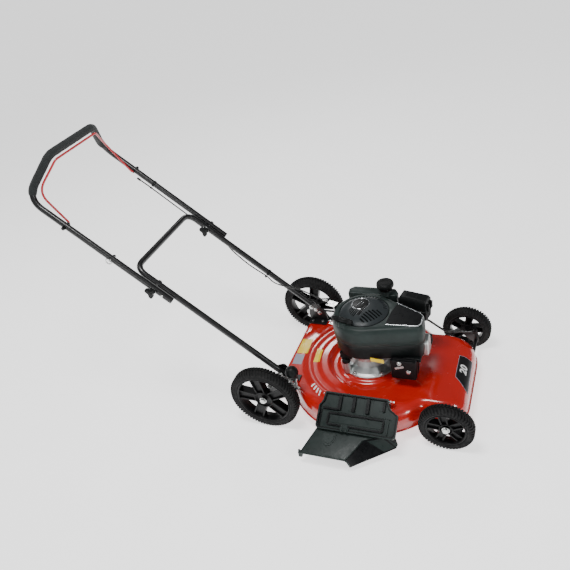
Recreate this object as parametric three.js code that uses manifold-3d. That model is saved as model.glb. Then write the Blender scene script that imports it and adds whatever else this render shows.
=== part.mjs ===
// Walk-behind rotary lawn mower with a 20 inch side-discharge deck.
// Millimetres, +X forward, +Y to the mower's left, +Z up. The ground is z = 0.
import * as THREE from 'three';
import { mergeVertices } from 'three/addons/utils/BufferGeometryUtils.js';
import Module from 'manifold-3d';

const wasm = await Module();
wasm.setup();

// ---------- driving dimensions ----------
const GAP = 0.3;                                  // clearance between neighbouring pieces
const ORIGIN = { x: -340, y: -62 };               // ground point under the middle of the machine
const SPINDLE = { x: -5, y: -19 };                // crankshaft axis

const DECK = {
  bottom: 48, sheet: 2, mountZ: 122, holeRadius: 60, housingRadius: 290,
  noseX: 365, noseHalf: 190, noseCorner: 70, tailX: -305, tailHalf: 181, tailCorner: 34,
};
const OPENING = { x0: -103, x1: 112, inner: -212 };   // side discharge opening in the deck
const RIM_SIDES = 28;                             // flats round each tyre
const SPOKE_TURN = THREE.MathUtils.degToRad(6);   // first spoke above the wheel's forward direction
const FRONT_WHEEL = { radius: 89, bead: 66, width: 40, inner: 233, x: 300 };
const REAR_WHEEL = { radius: 127, bead: 100, width: 44, inner: 253, x: -321 };
const CRANK = { x: -36, z: 32 };                  // wheel spindle from its height pivot
const FRONT_PIVOT = { x: 336, z: FRONT_WHEEL.radius - CRANK.z };
const REAR_PIVOT = { x: REAR_WHEEL.x - CRANK.x, z: REAR_WHEEL.radius - CRANK.z };
const LINK_PIN = { x: -5, z: 45 };                // link pin from its height pivot
const ARM_Y = 219;                                // inner face of the height crank arms
const ARM_THICK = 5;
const AXLE_R = 6;
const LEVER = { dx: 59, dz: 112, y: -224.3 };     // knob centre from the rear pivot, and the lever's inner face

const TUBE_R = 11;                                // handle tube, 22 mm outside
const TUBE_BORE = 9.4;
const LEG = { x: -273, z: 174, tilt: THREE.MathUtils.degToRad(41.2) };
const LOWER_Y = 192;                              // lower handle leg centre
const UPPER_Y = 220;                              // upper handle leg centre
const FOLD_L = 540;                               // fold bolts, along the leg
const CROSSBAR_L = 635;
const UPPER_START_L = 465;
const UPPER_END_L = 1062;
const UPPER_BEND_STEPS = 4;
const GRIP_BAR = { x: -1000, z: 988, half: 124 };
const BAIL_L = 905;
const CABLE_R = 2.5;
const CABLE_LANE = 206.4;                         // lane between the lower and upper tubes

const SHIELD = { x: -317.5, z: 78, half: 124 };   // trailing shield hinge
const HINGE = { y: -224, z: 136, radius: 3 };     // discharge cover and chute rod
const COVER_SLOPE = THREE.MathUtils.degToRad(31.4);
const OIL_NECK = [-68, -95];
const FUEL_NECK = [39, 115];
const SHROUD = { bottom: 218, band: 276, top: 345, wall: 2.5 };

// ---------- materials ----------
const finish = (color, roughness, metalness) => new THREE.MeshStandardMaterial({ color, roughness, metalness });
const RED_PAINT = finish(0xd4221c, 0.25, 0.1);
const BLACK_PAINT = finish(0x131313, 0.35, 0.2);
const BLACK_PLASTIC = finish(0x1c1f1f, 0.5, 0);
const GREY_PLASTIC = finish(0x2c3230, 0.5, 0);
const TYRE_RUBBER = finish(0x151515, 0.85, 0);
const FOAM = finish(0x171a19, 0.9, 0);
const ZINC = finish(0xc4c7c4, 0.3, 0.9);
const ALLOY = finish(0xb9bfbc, 0.4, 0.8);
const IRON = finish(0x4b4b4c, 0.6, 0.7);
const RED_ROD = finish(0xa81d22, 0.4, 0.2);

// ---------- solids ----------
// Six times the volume inside a closed surface, negative when its faces point inward.
function signedVolume(vertices, index) {
  const corner = (i) => new THREE.Vector3(vertices[3 * i], vertices[3 * i + 1], vertices[3 * i + 2]);
  let sum = 0;
  for (let i = 0; i < index.length; i += 3) {
    sum += corner(index[i]).dot(corner(index[i + 1]).cross(corner(index[i + 2])));
  }
  return sum;
}

function solid(geometry) {
  const bare = new THREE.BufferGeometry();
  bare.setAttribute('position', geometry.getAttribute('position').clone());
  if (geometry.index) bare.setIndex(geometry.index.clone());
  const merged = mergeVertices(bare, 1e-4);
  const corners = [];
  const index = merged.index.array;
  for (let i = 0; i < index.length; i += 3) {
    const [a, b, c] = [index[i], index[i + 1], index[i + 2]];
    if (a !== b && b !== c && c !== a) corners.push(a, b, c);
  }
  const vertProperties = new Float32Array(merged.getAttribute('position').array);
  if (signedVolume(vertProperties, corners) < 0) corners.reverse();
  return new wasm.Manifold(new wasm.Mesh({ numProp: 3, vertProperties, triVerts: new Uint32Array(corners) }));
}

function geometryOf(body) {
  const mesh = body.getMesh();
  const geometry = new THREE.BufferGeometry();
  geometry.setAttribute('position', new THREE.BufferAttribute(new Float32Array(mesh.vertProperties), 3));
  geometry.setIndex(new THREE.BufferAttribute(new Uint32Array(mesh.triVerts), 1));
  return geometry;
}

function join(...geometries) {
  let body = solid(geometries[0]);
  for (const geometry of geometries.slice(1)) body = body.add(solid(geometry));
  return geometryOf(body);
}

function cut(geometry, ...tools) {
  let body = solid(geometry);
  for (const tool of tools) body = body.subtract(solid(tool));
  return geometryOf(body);
}

const box = (x0, x1, y0, y1, z0, z1) => new THREE.BoxGeometry(x1 - x0, y1 - y0, z1 - z0)
  .translate((x0 + x1) / 2, (y0 + y1) / 2, (z0 + z1) / 2);

function rod(from, to, radius, sides = 12, endRadius = radius) {
  const start = new THREE.Vector3(...from);
  const way = new THREE.Vector3(...to).sub(start);
  const turn = new THREE.Quaternion().setFromUnitVectors(new THREE.Vector3(0, 1, 0), way.clone().normalize());
  return new THREE.CylinderGeometry(endRadius, radius, way.length(), sides)
    .translate(0, way.length() / 2, 0).applyQuaternion(turn).translate(...from);
}

const rodY = (x, z, y0, y1, radius, sides = 12) => rod([x, y0, z], [x, y1, z], radius, sides);

// A solid of revolution about the vertical line through (x, y).
function turned(profile, x, y, sides = 32) {
  const points = profile.map(([r, z]) => new THREE.Vector2(r, z));
  if (profile[0][0] > 0) points.push(points[0].clone());
  return new THREE.LatheGeometry(points, sides).rotateX(Math.PI / 2).translate(x, y, 0);
}

// A skin over rings of points, with flat ends, or with no ends when the rings close on themselves.
function loft(rings, closed = false) {
  const count = rings[0].length;
  const vertices = rings.flat().flatMap((p) => [p.x, p.y, p.z]);
  const index = [];
  const spans = closed ? rings.length : rings.length - 1;
  for (let i = 0; i < spans; i += 1) {
    const low = i * count;
    const high = ((i + 1) % rings.length) * count;
    for (let j = 0; j < count; j += 1) {
      const k = (j + 1) % count;
      index.push(low + j, low + k, high + k, low + j, high + k, high + j);
    }
  }
  if (!closed) {
    const last = (rings.length - 1) * count;
    for (let j = 1; j < count - 1; j += 1) {
      index.push(0, j + 1, j, last, last + j, last + j + 1);
    }
  }
  const geometry = new THREE.BufferGeometry();
  geometry.setAttribute('position', new THREE.Float32BufferAttribute(vertices, 3));
  geometry.setIndex(index);
  return geometry;
}

// A path through stations: one sweep step from each station to the next.
class StationPath extends THREE.Curve {
  constructor(stations) {
    super();
    this.stations = stations;
  }

  getPoint(t, target = new THREE.Vector3()) {
    const at = Math.min(Math.max(t, 0), 1) * (this.stations.length - 1);
    const i = Math.min(Math.floor(at), this.stations.length - 2);
    return target.copy(this.stations[i]).lerp(this.stations[i + 1], at - i);
  }

  getPointAt(u, target) {
    return this.getPoint(u, target);
  }

  getTangentAt(u, target) {
    return this.getTangent(u, target);
  }
}

function sweep(stations, radius, sides = 10) {
  const section = new THREE.Shape(new THREE.EllipseCurve(0, 0, radius, radius).getPoints(sides).slice(0, -1));
  const extrudePath = new StationPath(stations);
  return new THREE.ExtrudeGeometry(section, { steps: stations.length - 1, extrudePath });
}

// Stations of a polyline whose corners are bent to the given radii.
function bent(corners, radii, steps = 5) {
  const stations = [corners[0]];
  for (let i = 1; i < corners.length - 1; i += 1) {
    const back = corners[i - 1].clone().sub(corners[i]).normalize();
    const ahead = corners[i + 1].clone().sub(corners[i]).normalize();
    const trim = radii[i - 1] / Math.tan(back.angleTo(ahead) / 2);
    const start = corners[i].clone().addScaledVector(back, trim);
    const end = corners[i].clone().addScaledVector(ahead, trim);
    const arc = new THREE.QuadraticBezierCurve3(start, corners[i], end);
    stations.push(...arc.getPoints(steps));
  }
  stations.push(corners[corners.length - 1]);
  return stations;
}

// A point on a handle leg: length up the leg, sideways place, and offset square to the leg.
function leg(length, y, normal = 0) {
  const [c, s] = [Math.cos(LEG.tilt), Math.sin(LEG.tilt)];
  return new THREE.Vector3(LEG.x - length * c + normal * s, y, LEG.z + length * s + normal * c);
}

// The convex outline round a set of circles, counted by normal direction.
function beltOutline(circles, grow, count) {
  const points = [];
  for (let i = 0; i < count; i += 1) {
    const angle = (i / count) * 2 * Math.PI;
    const [nx, ny] = [Math.cos(angle), Math.sin(angle)];
    const reach = ([x, y, r]) => x * nx + y * ny + r;
    const [x, y, r] = circles.reduce((best, c) => (reach(c) > reach(best) ? c : best));
    points.push([x + (r + grow) * nx, y + (r + grow) * ny]);
  }
  return points;
}

const ringAt = (outline, z) => outline.map(([x, y]) => new THREE.Vector3(x, y, z));

// ---------- the machine ----------
const mower = new THREE.Group();
mower.position.set(-ORIGIN.x, -ORIGIN.y, 0);

function piece(name, geometry, material, x = 0, y = 0, z = 0) {
  const mesh = new THREE.Mesh(join(geometry), material);
  mesh.name = name;
  mesh.position.set(x, y, z);
  mower.add(mesh);
  return mesh;
}

// ---------- deck ----------
function roundedBlock(x0, x1, half, corner) {
  const shape = new THREE.Shape();
  shape.moveTo(x0 + corner, -half);
  shape.lineTo(x1 - corner, -half);
  shape.absarc(x1 - corner, -half + corner, corner, -Math.PI / 2, 0);
  shape.absarc(x1 - corner, half - corner, corner, 0, Math.PI / 2);
  shape.lineTo(x0 + corner, half);
  shape.absarc(x0 + corner, half - corner, corner, Math.PI / 2, Math.PI);
  shape.absarc(x0 + corner, -half + corner, corner, Math.PI, 1.5 * Math.PI);
  return shape.getPoints(8);
}

// How far a ray from the spindle runs before it leaves a closed outline.
function reachOf(outline, angle) {
  const [dx, dy] = [Math.cos(angle), Math.sin(angle)];
  let reach = 0;
  outline.forEach((a, i) => {
    const b = outline[(i + 1) % outline.length];
    const [ax, ay, ex, ey] = [a.x - SPINDLE.x, a.y - SPINDLE.y, b.x - a.x, b.y - a.y];
    const across = dx * ey - dy * ex;
    if (Math.abs(across) < 1e-9) return;
    const along = (ax * ey - ay * ex) / across;
    const part = (ax * dy - ay * dx) / across;
    if (part >= 0 && part <= 1) reach = Math.max(reach, along);
  });
  return reach;
}

function deckRadii(count) {
  const nose = roundedBlock(-200, DECK.noseX, DECK.noseHalf, DECK.noseCorner);
  const tail = roundedBlock(DECK.tailX, 200, DECK.tailHalf, DECK.tailCorner);
  const raw = [];
  for (let i = 0; i < count; i += 1) {
    const angle = (i / count) * 2 * Math.PI;
    raw.push(Math.max(DECK.housingRadius, reachOf(nose, angle), reachOf(tail, angle)));
  }
  const near = (i) => raw[(i + count) % count];
  return raw.map((r, i) => (near(i - 1) + 2 * r + near(i + 1)) / 4);
}

// Outer profile at one angle: engine seat, groove, ridge, plateau, rounded shoulder and skirt.
function deckProfile(angle, reach) {
  const forward = Math.max(0, Math.cos(angle)) ** 2;
  const plateau = 119 - 6 * Math.cos(angle);
  const [width, height] = [40 + 30 * forward, 46 + 8 * forward];
  const points = [[DECK.holeRadius, DECK.mountZ, 0], [106, DECK.mountZ, 0], [120, 115, 0],
    [134, 113.5, 0], [150, plateau - 2, 0], [170, plateau, 0]];
  for (let k = 0; k <= 4; k += 1) {
    const lean = (k / 4) * (Math.PI / 2);
    points.push([reach - width * (1 - Math.sin(lean)), plateau - height * (1 - Math.cos(lean)), lean]);
  }
  points.push([reach, DECK.bottom + 4, Math.PI / 2], [reach + 5, DECK.bottom + 2, 0]);
  return points;
}

function deck() {
  const count = 40;
  const rings = deckRadii(count).map((reach, i) => {
    const angle = (i / count) * 2 * Math.PI;
    const outer = deckProfile(angle, reach);
    const inner = outer.map(([r, z, lean]) => [r - DECK.sheet * Math.sin(lean), z - DECK.sheet * Math.cos(lean)]);
    inner[inner.length - 2] = [reach - DECK.sheet, DECK.bottom];
    inner[inner.length - 1] = [reach + 5, DECK.bottom];
    const loop = [...outer, ...inner.reverse()];
    return loop.map(([r, z]) => new THREE.Vector3(
      SPINDLE.x + r * Math.cos(angle), SPINDLE.y + r * Math.sin(angle), z));
  });
  const lugs = [-112, 120].map((x) => box(x, x + 6, -232, -216, 111, 143));
  const ears = [-SHIELD.half - 10, SHIELD.half + 6].map((y) => (
    box(SHIELD.x - 6, -292, y, y + 4, SHIELD.z - 14, SHIELD.z + 7)));
  const shell = join(loft(rings, true), ...lugs, ...ears);
  const rodHole = rod([-130, HINGE.y, HINGE.z], [140, HINGE.y, HINGE.z], HINGE.radius + GAP);
  const mouth = box(OPENING.x0, OPENING.x1, -340, OPENING.inner, 40, 140);
  const frontHole = rodY(FRONT_PIVOT.x, FRONT_PIVOT.z, -240, 240, AXLE_R + 0.8);
  const rearHole = rodY(REAR_PIVOT.x, REAR_PIVOT.z, -240, 240, AXLE_R + 0.8);
  const earHole = rodY(SHIELD.x, SHIELD.z, -SHIELD.half - 20, SHIELD.half + 20, 3 + GAP);
  return cut(shell, rodHole, mouth, frontHole, rearHole, earHole);
}

function handleBracket(side) {
  const y = side * (LOWER_Y - TUBE_R - 1);
  const [near, far] = [Math.min(y, y - side * 4), Math.max(y, y - side * 4)];
  const outline = new THREE.Shape();
  outline.moveTo(-300, 125);
  outline.lineTo(-226, 125);
  outline.lineTo(-232, 158);
  outline.lineTo(-268, 206);
  outline.lineTo(-296, 196);
  outline.lineTo(-304, 150);
  const plate = new THREE.ExtrudeGeometry(outline, { depth: far - near, bevelEnabled: false });
  plate.rotateX(Math.PI / 2).translate(0, far, 0);
  const [footNear, footFar] = side > 0 ? [y - 34, y - 3] : [y + 3, y + 34];
  const foot = box(-300, -226, footNear, footFar, 125.6, 129);
  return join(plate, foot);
}

piece('deck', deck(), RED_PAINT);
piece('left_handle_bracket', handleBracket(1), BLACK_PAINT);
piece('right_handle_bracket', handleBracket(-1), BLACK_PAINT);

// ---------- wheels ----------
function tyre(wheel) {
  const { bead, width } = wheel;
  const radius = wheel.radius / Math.cos(Math.PI / RIM_SIDES);
  const half = width / 2;
  const profile = [[bead, -half], [radius - 5, -half], [radius, 6 - half], [radius, half - 6],
    [radius - 5, half], [bead, half]];
  const points = [...profile, profile[0]].map(([r, y]) => new THREE.Vector2(r, y));
  return new THREE.LatheGeometry(points, RIM_SIDES, Math.PI / RIM_SIDES);
}

function ringY(inner, outer, half, sides) {
  const profile = [[inner, -half], [outer, -half], [outer, half], [inner, half], [inner, -half]];
  return new THREE.LatheGeometry(profile.map(([r, y]) => new THREE.Vector2(r, y)), sides, Math.PI / RIM_SIDES);
}

function wheelHub(wheel) {
  const rim = wheel.bead / Math.cos(Math.PI / RIM_SIDES) - 0.5;
  const half = wheel.width / 2;
  const barrel = rodY(0, 0, 6 - half, half - 6, 0.2 * wheel.bead, 14);
  const parts = [ringY(rim - 7, rim * Math.cos(Math.PI / RIM_SIDES) - 0.4, half - 4, RIM_SIDES), barrel];
  for (let i = 0; i < 5; i += 1) {
    const spoke = box(0.15 * wheel.bead, rim - 4, 10 - half, half - 12, -0.11 * wheel.bead, 0.11 * wheel.bead);
    parts.push(spoke.rotateY((i / 5) * 2 * Math.PI - SPOKE_TURN));
  }
  return cut(join(...parts), rodY(0, 0, -half, half, AXLE_R + GAP, 12));
}

function wheelSet(corner, wheel, side) {
  const y = side * (wheel.inner + wheel.width / 2);
  piece(`${corner}_tyre`, tyre(wheel), TYRE_RUBBER, wheel.x, y, wheel.radius);
  const hub = wheelHub(wheel);
  if (side < 0) hub.rotateZ(Math.PI);
  piece(`${corner}_wheel_hub`, hub, BLACK_PLASTIC, wheel.x, y, wheel.radius);
  const hubFace = wheel.width / 2 - 6 + GAP;
  const nut = cut(rod([0, hubFace, 0], [0, hubFace + 9, 0], 10, 6), rodY(0, 0, 0, 60, AXLE_R + GAP));
  if (side < 0) nut.rotateZ(Math.PI);
  piece(`${corner}_wheel_nut`, nut, ZINC, wheel.x, y, wheel.radius);
}

wheelSet('front_left', FRONT_WHEEL, 1);
wheelSet('front_right', FRONT_WHEEL, -1);
wheelSet('rear_left', REAR_WHEEL, 1);
wheelSet('rear_right', REAR_WHEEL, -1);

// ---------- cutting-height gear ----------
function armPlate(y0, y1, points) {
  const outline = points.map(([x, z]) => [x, z, 12]);
  const ring = beltOutline(outline, 0, 24);
  return loft([y0, y1].map((y) => ring.map(([x, z]) => new THREE.Vector3(x, y, z))));
}

// A cross rod with a crank arm and a wheel spindle at each end, and a link arm on the left.
function crankAxle(pivot, wheel) {
  const hub = [pivot.x, pivot.z];
  const spindle = [pivot.x + CRANK.x, pivot.z + CRANK.z];
  const pin = [pivot.x + LINK_PIN.x, pivot.z + LINK_PIN.z];
  const tip = wheel.inner + wheel.width + 2;
  const parts = [rodY(...hub, -ARM_Y - 1, ARM_Y + 1, AXLE_R)];
  parts.push(armPlate(ARM_Y, ARM_Y + ARM_THICK, [hub, spindle]));
  parts.push(armPlate(ARM_Y, ARM_Y + ARM_THICK, [hub, pin]));
  parts.push(armPlate(-ARM_Y - ARM_THICK, -ARM_Y, [hub, spindle]));
  parts.push(rodY(...spindle, ARM_Y + 1, tip, AXLE_R));
  parts.push(rodY(...spindle, -tip, -ARM_Y - 1, AXLE_R));
  parts.push(rodY(...pin, ARM_Y - 9, ARM_Y + 1, 4, 12));
  return join(...parts);
}

function heightLever() {
  const from = [REAR_PIVOT.x, REAR_PIVOT.z];
  const to = [REAR_PIVOT.x + 0.78 * LEVER.dx, REAR_PIVOT.z + 0.78 * LEVER.dz];
  const ring = beltOutline([[...from, 13], [...to, 7]], 0, 24);
  return loft([LEVER.y - 4, LEVER.y].map((y) => ring.map(([x, z]) => new THREE.Vector3(x, y, z))));
}

function leverKnob() {
  const profile = [[0, 0], [8.5, 0], [9.5, 6], [11, 18], [17, 28], [19, 38], [17, 48], [10, 55], [0, 57.5]];
  const knob = new THREE.LatheGeometry(profile.map(([r, z]) => new THREE.Vector2(r, z)), 20);
  const way = new THREE.Vector3(LEVER.dx, 0, LEVER.dz).normalize();
  const turn = new THREE.Quaternion().setFromUnitVectors(new THREE.Vector3(0, 1, 0), way);
  const start = new THREE.Vector3(REAR_PIVOT.x, LEVER.y - 2, REAR_PIVOT.z)
    .addScaledVector(way, 0.78 * Math.hypot(LEVER.dx, LEVER.dz) + 7.6);
  return knob.applyQuaternion(turn).translate(start.x, start.y, start.z);
}

// A notched sector beside the lever, on a foot that reaches the deck's side.
function heightQuadrant() {
  const sector = new THREE.Shape();
  const [low, high] = [THREE.MathUtils.degToRad(22), THREE.MathUtils.degToRad(104)];
  sector.absarc(REAR_PIVOT.x, REAR_PIVOT.z, 84, low, high, false);
  sector.absarc(REAR_PIVOT.x, REAR_PIVOT.z, 62, high, low, true);
  const plate = new THREE.ExtrudeGeometry(sector, { depth: 3, bevelEnabled: false, curveSegments: 10 });
  plate.rotateX(Math.PI / 2).translate(0, LEVER.y + 13, 0);
  const rim = box(-216, -213, LEVER.y + 4, LEVER.y + 13, 128, 172);
  const foot = box(-240, -228, LEVER.y + 12, -LOWER_Y + TUBE_R + 1 - GAP, 126, 134);
  const notches = [];
  for (let k = 0; k < 5; k += 1) {
    const angle = THREE.MathUtils.degToRad(34 + 14 * k);
    const [x, z] = [REAR_PIVOT.x + 84 * Math.cos(angle), REAR_PIVOT.z + 84 * Math.sin(angle)];
    notches.push(rodY(x, z, LEVER.y + 8, LEVER.y + 16, 4, 8));
  }
  return cut(join(plate, rim, foot), ...notches);
}

function linkRod() {
  const y = ARM_Y - 4.5;
  const at = (x, z) => new THREE.Vector3(x, y, z);
  const rear = at(REAR_PIVOT.x + LINK_PIN.x, REAR_PIVOT.z + LINK_PIN.z);
  const front = at(FRONT_PIVOT.x + LINK_PIN.x, FRONT_PIVOT.z + LINK_PIN.z);
  const corners = [rear, at(-250, 143), at(160, 143), at(226, 92), front];
  const bar = sweep(bent(corners, [60, 40, 40], 3), 4, 8);
  const eyes = [rear, front].map((p) => rodY(p.x, p.z, y - 3, y + 3, 9, 14));
  const bores = [rear, front].map((p) => rodY(p.x, p.z, y - 8, y + 8, 4.5, 12));
  return cut(join(bar, ...eyes), ...bores);
}

piece('front_axle', crankAxle(FRONT_PIVOT, FRONT_WHEEL), ZINC);
piece('rear_axle', crankAxle(REAR_PIVOT, REAR_WHEEL), ZINC);
piece('height_lever', heightLever(), ZINC);
piece('height_lever_knob', leverKnob(), BLACK_PLASTIC);
piece('height_quadrant', heightQuadrant(), ZINC);
piece('height_link_rod', linkRod(), BLACK_PAINT);

// ---------- discharge chute and cover ----------
// Works in the cover's own plane: x across, -y down its slope, z out of its face.
function onCover(geometry) {
  return geometry.rotateX(COVER_SLOPE).translate(0, HINGE.y, HINGE.z);
}

// An arm of the chute that hooks round the hinge rod.
function chuteArm(x) {
  return onCover(join(box(x, x + 10, -93, 0, -9, -1), rod([x, 0, 0], [x + 10, 0, 0], 5.5, 12)));
}

function chute() {
  const bottom = 28;
  const section = (y, x0, x1, top, low) => [[x0, low], [x1, low], [x1, top], [x0, top]]
    .map(([x, z]) => new THREE.Vector3(x, y, z));
  const outer = loft([section(-297, -92, 104, 84, bottom), section(-322, -119, 148, 74, bottom),
    section(-400, -149, 43, 58, bottom), section(-424, -155, 10, 50, bottom)]);
  const inner = loft([section(-290, -89, 101, 81, 20), section(-298, -89, 101, 81, 20),
    section(-323, -116, 144, 71, 20), section(-399, -146, 41, 55, 20), section(-421, -151, 10, 47, 20)]);
  const mouth = box(-142, -2, -430, -418, 20, 41);
  const bore = rod([-80, HINGE.y, HINGE.z], [90, HINGE.y, HINGE.z], HINGE.radius + GAP);
  return cut(join(cut(outer, inner, mouth), chuteArm(-64), chuteArm(66)), bore);
}

function coverPlate(inset, from, to, low, high) {
  const outline = new THREE.Shape();
  const corners = [[-105 + inset, from], [115 - inset, from], [119 - inset, 24], [152 - inset, 50],
    [152 - inset, to - 8], [144 - inset, to], [-112 + inset, to], [-120 + inset, to - 8], [-120 + inset, 48],
    [-107 + inset, 24]];
  corners.forEach(([x, u], i) => (i ? outline.lineTo(x, -u) : outline.moveTo(x, -u)));
  return new THREE.ExtrudeGeometry(outline, { depth: high - low, bevelEnabled: false }).translate(0, 0, low);
}

function dischargeCover() {
  const tray = cut(coverPlate(0, -4, 124, 8, 14.5), coverPlate(6, 6, 117, 10.5, 20));
  const ribs = [-52, -4, 44].map((x) => box(x, x + 7, -50, -8, 10, 16));
  const panelEdge = cut(box(-84, 112, -98, -58, 10, 13), box(-78, 106, -92, -64, 8, 16));
  const knuckles = [-96, 96].map((x) => join(rod([x, 0, 0], [x + 16, 0, 0], 5.5), box(x, x + 16, -5, 4, 0, 9)));
  const latchSeat = box(-35.5, -2.5, -130, -105, 10.4, 20);
  const bore = rod([-120, 0, 0], [130, 0, 0], HINGE.radius + GAP);
  return onCover(cut(join(tray, ...ribs, panelEdge, ...knuckles), latchSeat, bore));
}

function coverLatch() {
  const body = box(-34, -4, -125, -109, 11, 14.5);
  return onCover(join(body, box(-30, -8, -125, -120, 14, 22)));
}

piece('cover_hinge_rod', rod([-116, HINGE.y, HINGE.z], [130, HINGE.y, HINGE.z], HINGE.radius, 10), ZINC);
piece('discharge_chute', chute(), BLACK_PLASTIC);
piece('discharge_cover', dischargeCover(), BLACK_PLASTIC);
piece('cover_latch', coverLatch(), BLACK_PLASTIC);

// A flap behind the deck that hangs from ears on it by its own stub pins.
function trailingShield() {
  const flap = box(SHIELD.x - 1.5, SHIELD.x + 1.5, -SHIELD.half, SHIELD.half, 30, SHIELD.z - 4);
  const barrel = rodY(SHIELD.x, SHIELD.z, -SHIELD.half, SHIELD.half, 5.5);
  const pins = rodY(SHIELD.x, SHIELD.z, -SHIELD.half - 12, SHIELD.half + 12, 3);
  return join(flap, barrel, pins);
}

piece('trailing_shield', trailingShield(), BLACK_PLASTIC);

// ---------- engine ----------
function crankcase() {
  const base = DECK.mountZ + GAP;
  const profile = [[13, base], [100, base], [100, 129], [84, 148], [80, 160], [78, 204], [60, 210], [13, 210],
    [13, 200], [64, 200], [68, 140], [64, 133], [13, 133]];
  const body = turned(profile, SPINDLE.x, SPINDLE.y, 24);
  const neck = cut(rod([...OIL_NECK, 126], [...OIL_NECK, 172], 12), rod([...OIL_NECK, 142], [...OIL_NECK, 180], 7));
  const lugs = [35, 125, 205, 305].map((degrees) => {
    const angle = THREE.MathUtils.degToRad(degrees);
    const [x, y] = [SPINDLE.x + 91 * Math.cos(angle), SPINDLE.y + 91 * Math.sin(angle)];
    return rod([x, y, 126], [x, y, 137], 7, 8);
  });
  return join(body, neck, ...lugs);
}

function cylinderBlock() {
  const parts = [box(79, 182, -46, 8, 156, 210), box(179, 214, -50, 0, 184, 262),
    rod([110, -60, 184], [110, -44, 184], 10, 12)];
  for (let k = 0; k < 6; k += 1) parts.push(box(92 + 15 * k, 96 + 15 * k, -56, 17, 150, 214));
  return join(...parts);
}

const SHROUD_CIRCLES = [[-5, -19, 113], [180, -62, 28], [172, -14, 28]];

function shroud() {
  const at = (z, grow) => ringAt(beltOutline(SHROUD_CIRCLES, grow, 30), z);
  const outer = loft([at(SHROUD.bottom, -6), at(SHROUD.band, -4), at(SHROUD.band + 1, 0), at(322, 0),
    at(337, -5), at(SHROUD.top, -16)]);
  const w = SHROUD.wall;
  const inner = loft([at(SHROUD.bottom - 5, -6 - w), at(SHROUD.band, -4 - w), at(322, -w - 1), at(336, -5 - w),
    at(SHROUD.top - w, -18)]);
  const inlet = rod([SPINDLE.x, SPINDLE.y, 330], [SPINDLE.x, SPINDLE.y, 350], 80, 28);
  const headNotch = box(176, 230, -54, 4, 200, 266);
  return cut(outer, inner, inlet, headNotch);
}

function recoilHousing() {
  const profile = [[0, 361], [30, 360.5], [55, 358], [72, 354], [84, 347.5], [85, 345.3], [82, 345.3],
    [70, 351], [54, 355], [30, 357.5], [0, 358]];
  const points = profile.map(([r, z]) => new THREE.Vector2(r, z));
  const dome = new THREE.LatheGeometry(points, 28).rotateX(Math.PI / 2).translate(SPINDLE.x, SPINDLE.y, 0);
  const slots = [];
  for (let k = 0; k < 2; k += 1) {
    for (const side of [-1, 1]) {
      const off = side * (24 + 18 * k);
      const reach = Math.sqrt(70 ** 2 - off ** 2);
      slots.push(box(off - 3, off + 3, -0.5 * reach, 0.92 * reach, 340, 370));
    }
  }
  const turn = THREE.MathUtils.degToRad(-45);
  const placed = slots.map((slot) => slot.rotateZ(turn).translate(SPINDLE.x, SPINDLE.y, 0));
  return cut(dome, ...placed);
}

function fuelTank() {
  const at = (z, grow) => [[-98 - grow, 98], [80 + grow, 98], [84 + grow, 120], [70, 142 + grow],
    [-84, 142 + grow], [-100 - grow, 124]].map(([x, y]) => new THREE.Vector3(x, y, z));
  const body = loft([at(246, -8), at(258, 0), at(322, 0), at(331, -9)]);
  const neck = rod([...FUEL_NECK, 320], [...FUEL_NECK, 342], 15, 20);
  const cavity = loft([at(249, -11), at(260, -3), at(320, -3), at(328, -12)].map((ring) => ring.map((p) => (
    new THREE.Vector3(p.x, p.y < 100 ? p.y + 3 : p.y, p.z)))));
  return cut(join(body, neck), cavity, rod([...FUEL_NECK, 320], [...FUEL_NECK, 350], 11, 16));
}

function fuelCap() {
  const profile = [[0, 344], [10.4, 344], [10.4, 342.4], [19, 342.4], [23, 347], [31.5, 362], [31.5, 373],
    [28, 377], [0, 378]];
  const cap = new THREE.LatheGeometry(profile.map(([r, z]) => new THREE.Vector2(r, z)), 24).rotateX(Math.PI / 2);
  return cap.translate(FUEL_NECK[0], FUEL_NECK[1], 0);
}

// The air filter stands on the carburettor, turned to follow the shroud's side.
const FILTER = { x: 147, y: 86, turn: THREE.MathUtils.degToRad(-13), halfLength: 53, halfWidth: 26 };
const onFilter = (geometry) => geometry.rotateZ(FILTER.turn).translate(FILTER.x, FILTER.y, 0);

function filterBase() {
  const { halfLength: a, halfWidth: b } = FILTER;
  const tray = cut(box(-a, a, -b, b, 262, 297), box(4 - a, a - 4, 4 - b, b - 4, 266, 300));
  return onFilter(cut(tray, rod([3.8, -9.9, 255], [3.8, -9.9, 270], 11, 16)));
}

function filterCover() {
  const at = (z, inset) => {
    const [a, b] = [FILTER.halfLength - inset, FILTER.halfWidth - inset];
    return [[-a, -b], [a, -b], [a, b], [-a, b]].map(([x, y]) => new THREE.Vector3(x, y, z));
  };
  const shell = cut(loft([at(297.3, 0), at(340, 0), at(349, 7)]), loft([at(290, 3), at(339, 3), at(346, 9)]));
  const end = FILTER.halfLength;
  const clips = [-12, 12].map((y) => box(end - 1, end + 7, y - 5, y + 5, 304, 332));
  return onFilter(join(shell, ...clips));
}

function carburettor() {
  const bowl = box(128, 162, 56, 88, 196, 228);
  const throat = rod([148.5, 75.5, 220], [148.5, 75.5, 261.6], 10, 16);
  const intake = rod([145, 19.2, 200], [145, 60, 206], 9);
  return join(bowl, throat, intake);
}

function muffler() {
  const shape = (inset) => join(box(100 + inset, 184 - inset, inset - 126, -66 - inset, 150 + inset, 216 - inset),
    box(100 + inset, 184 - inset, inset - 126, -107 - inset, 150 + inset, 229 - inset));
  const can = cut(shape(0), shape(3), rod([150, -130, 162], [150, -120, 162], 8, 12));
  return join(can, rod([110, -67, 184], [110, -60.4, 184], 9, 12));
}

// The spark plug stands out of the head's left side.
const PLUG = { x: 205, z: 199 };

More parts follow.
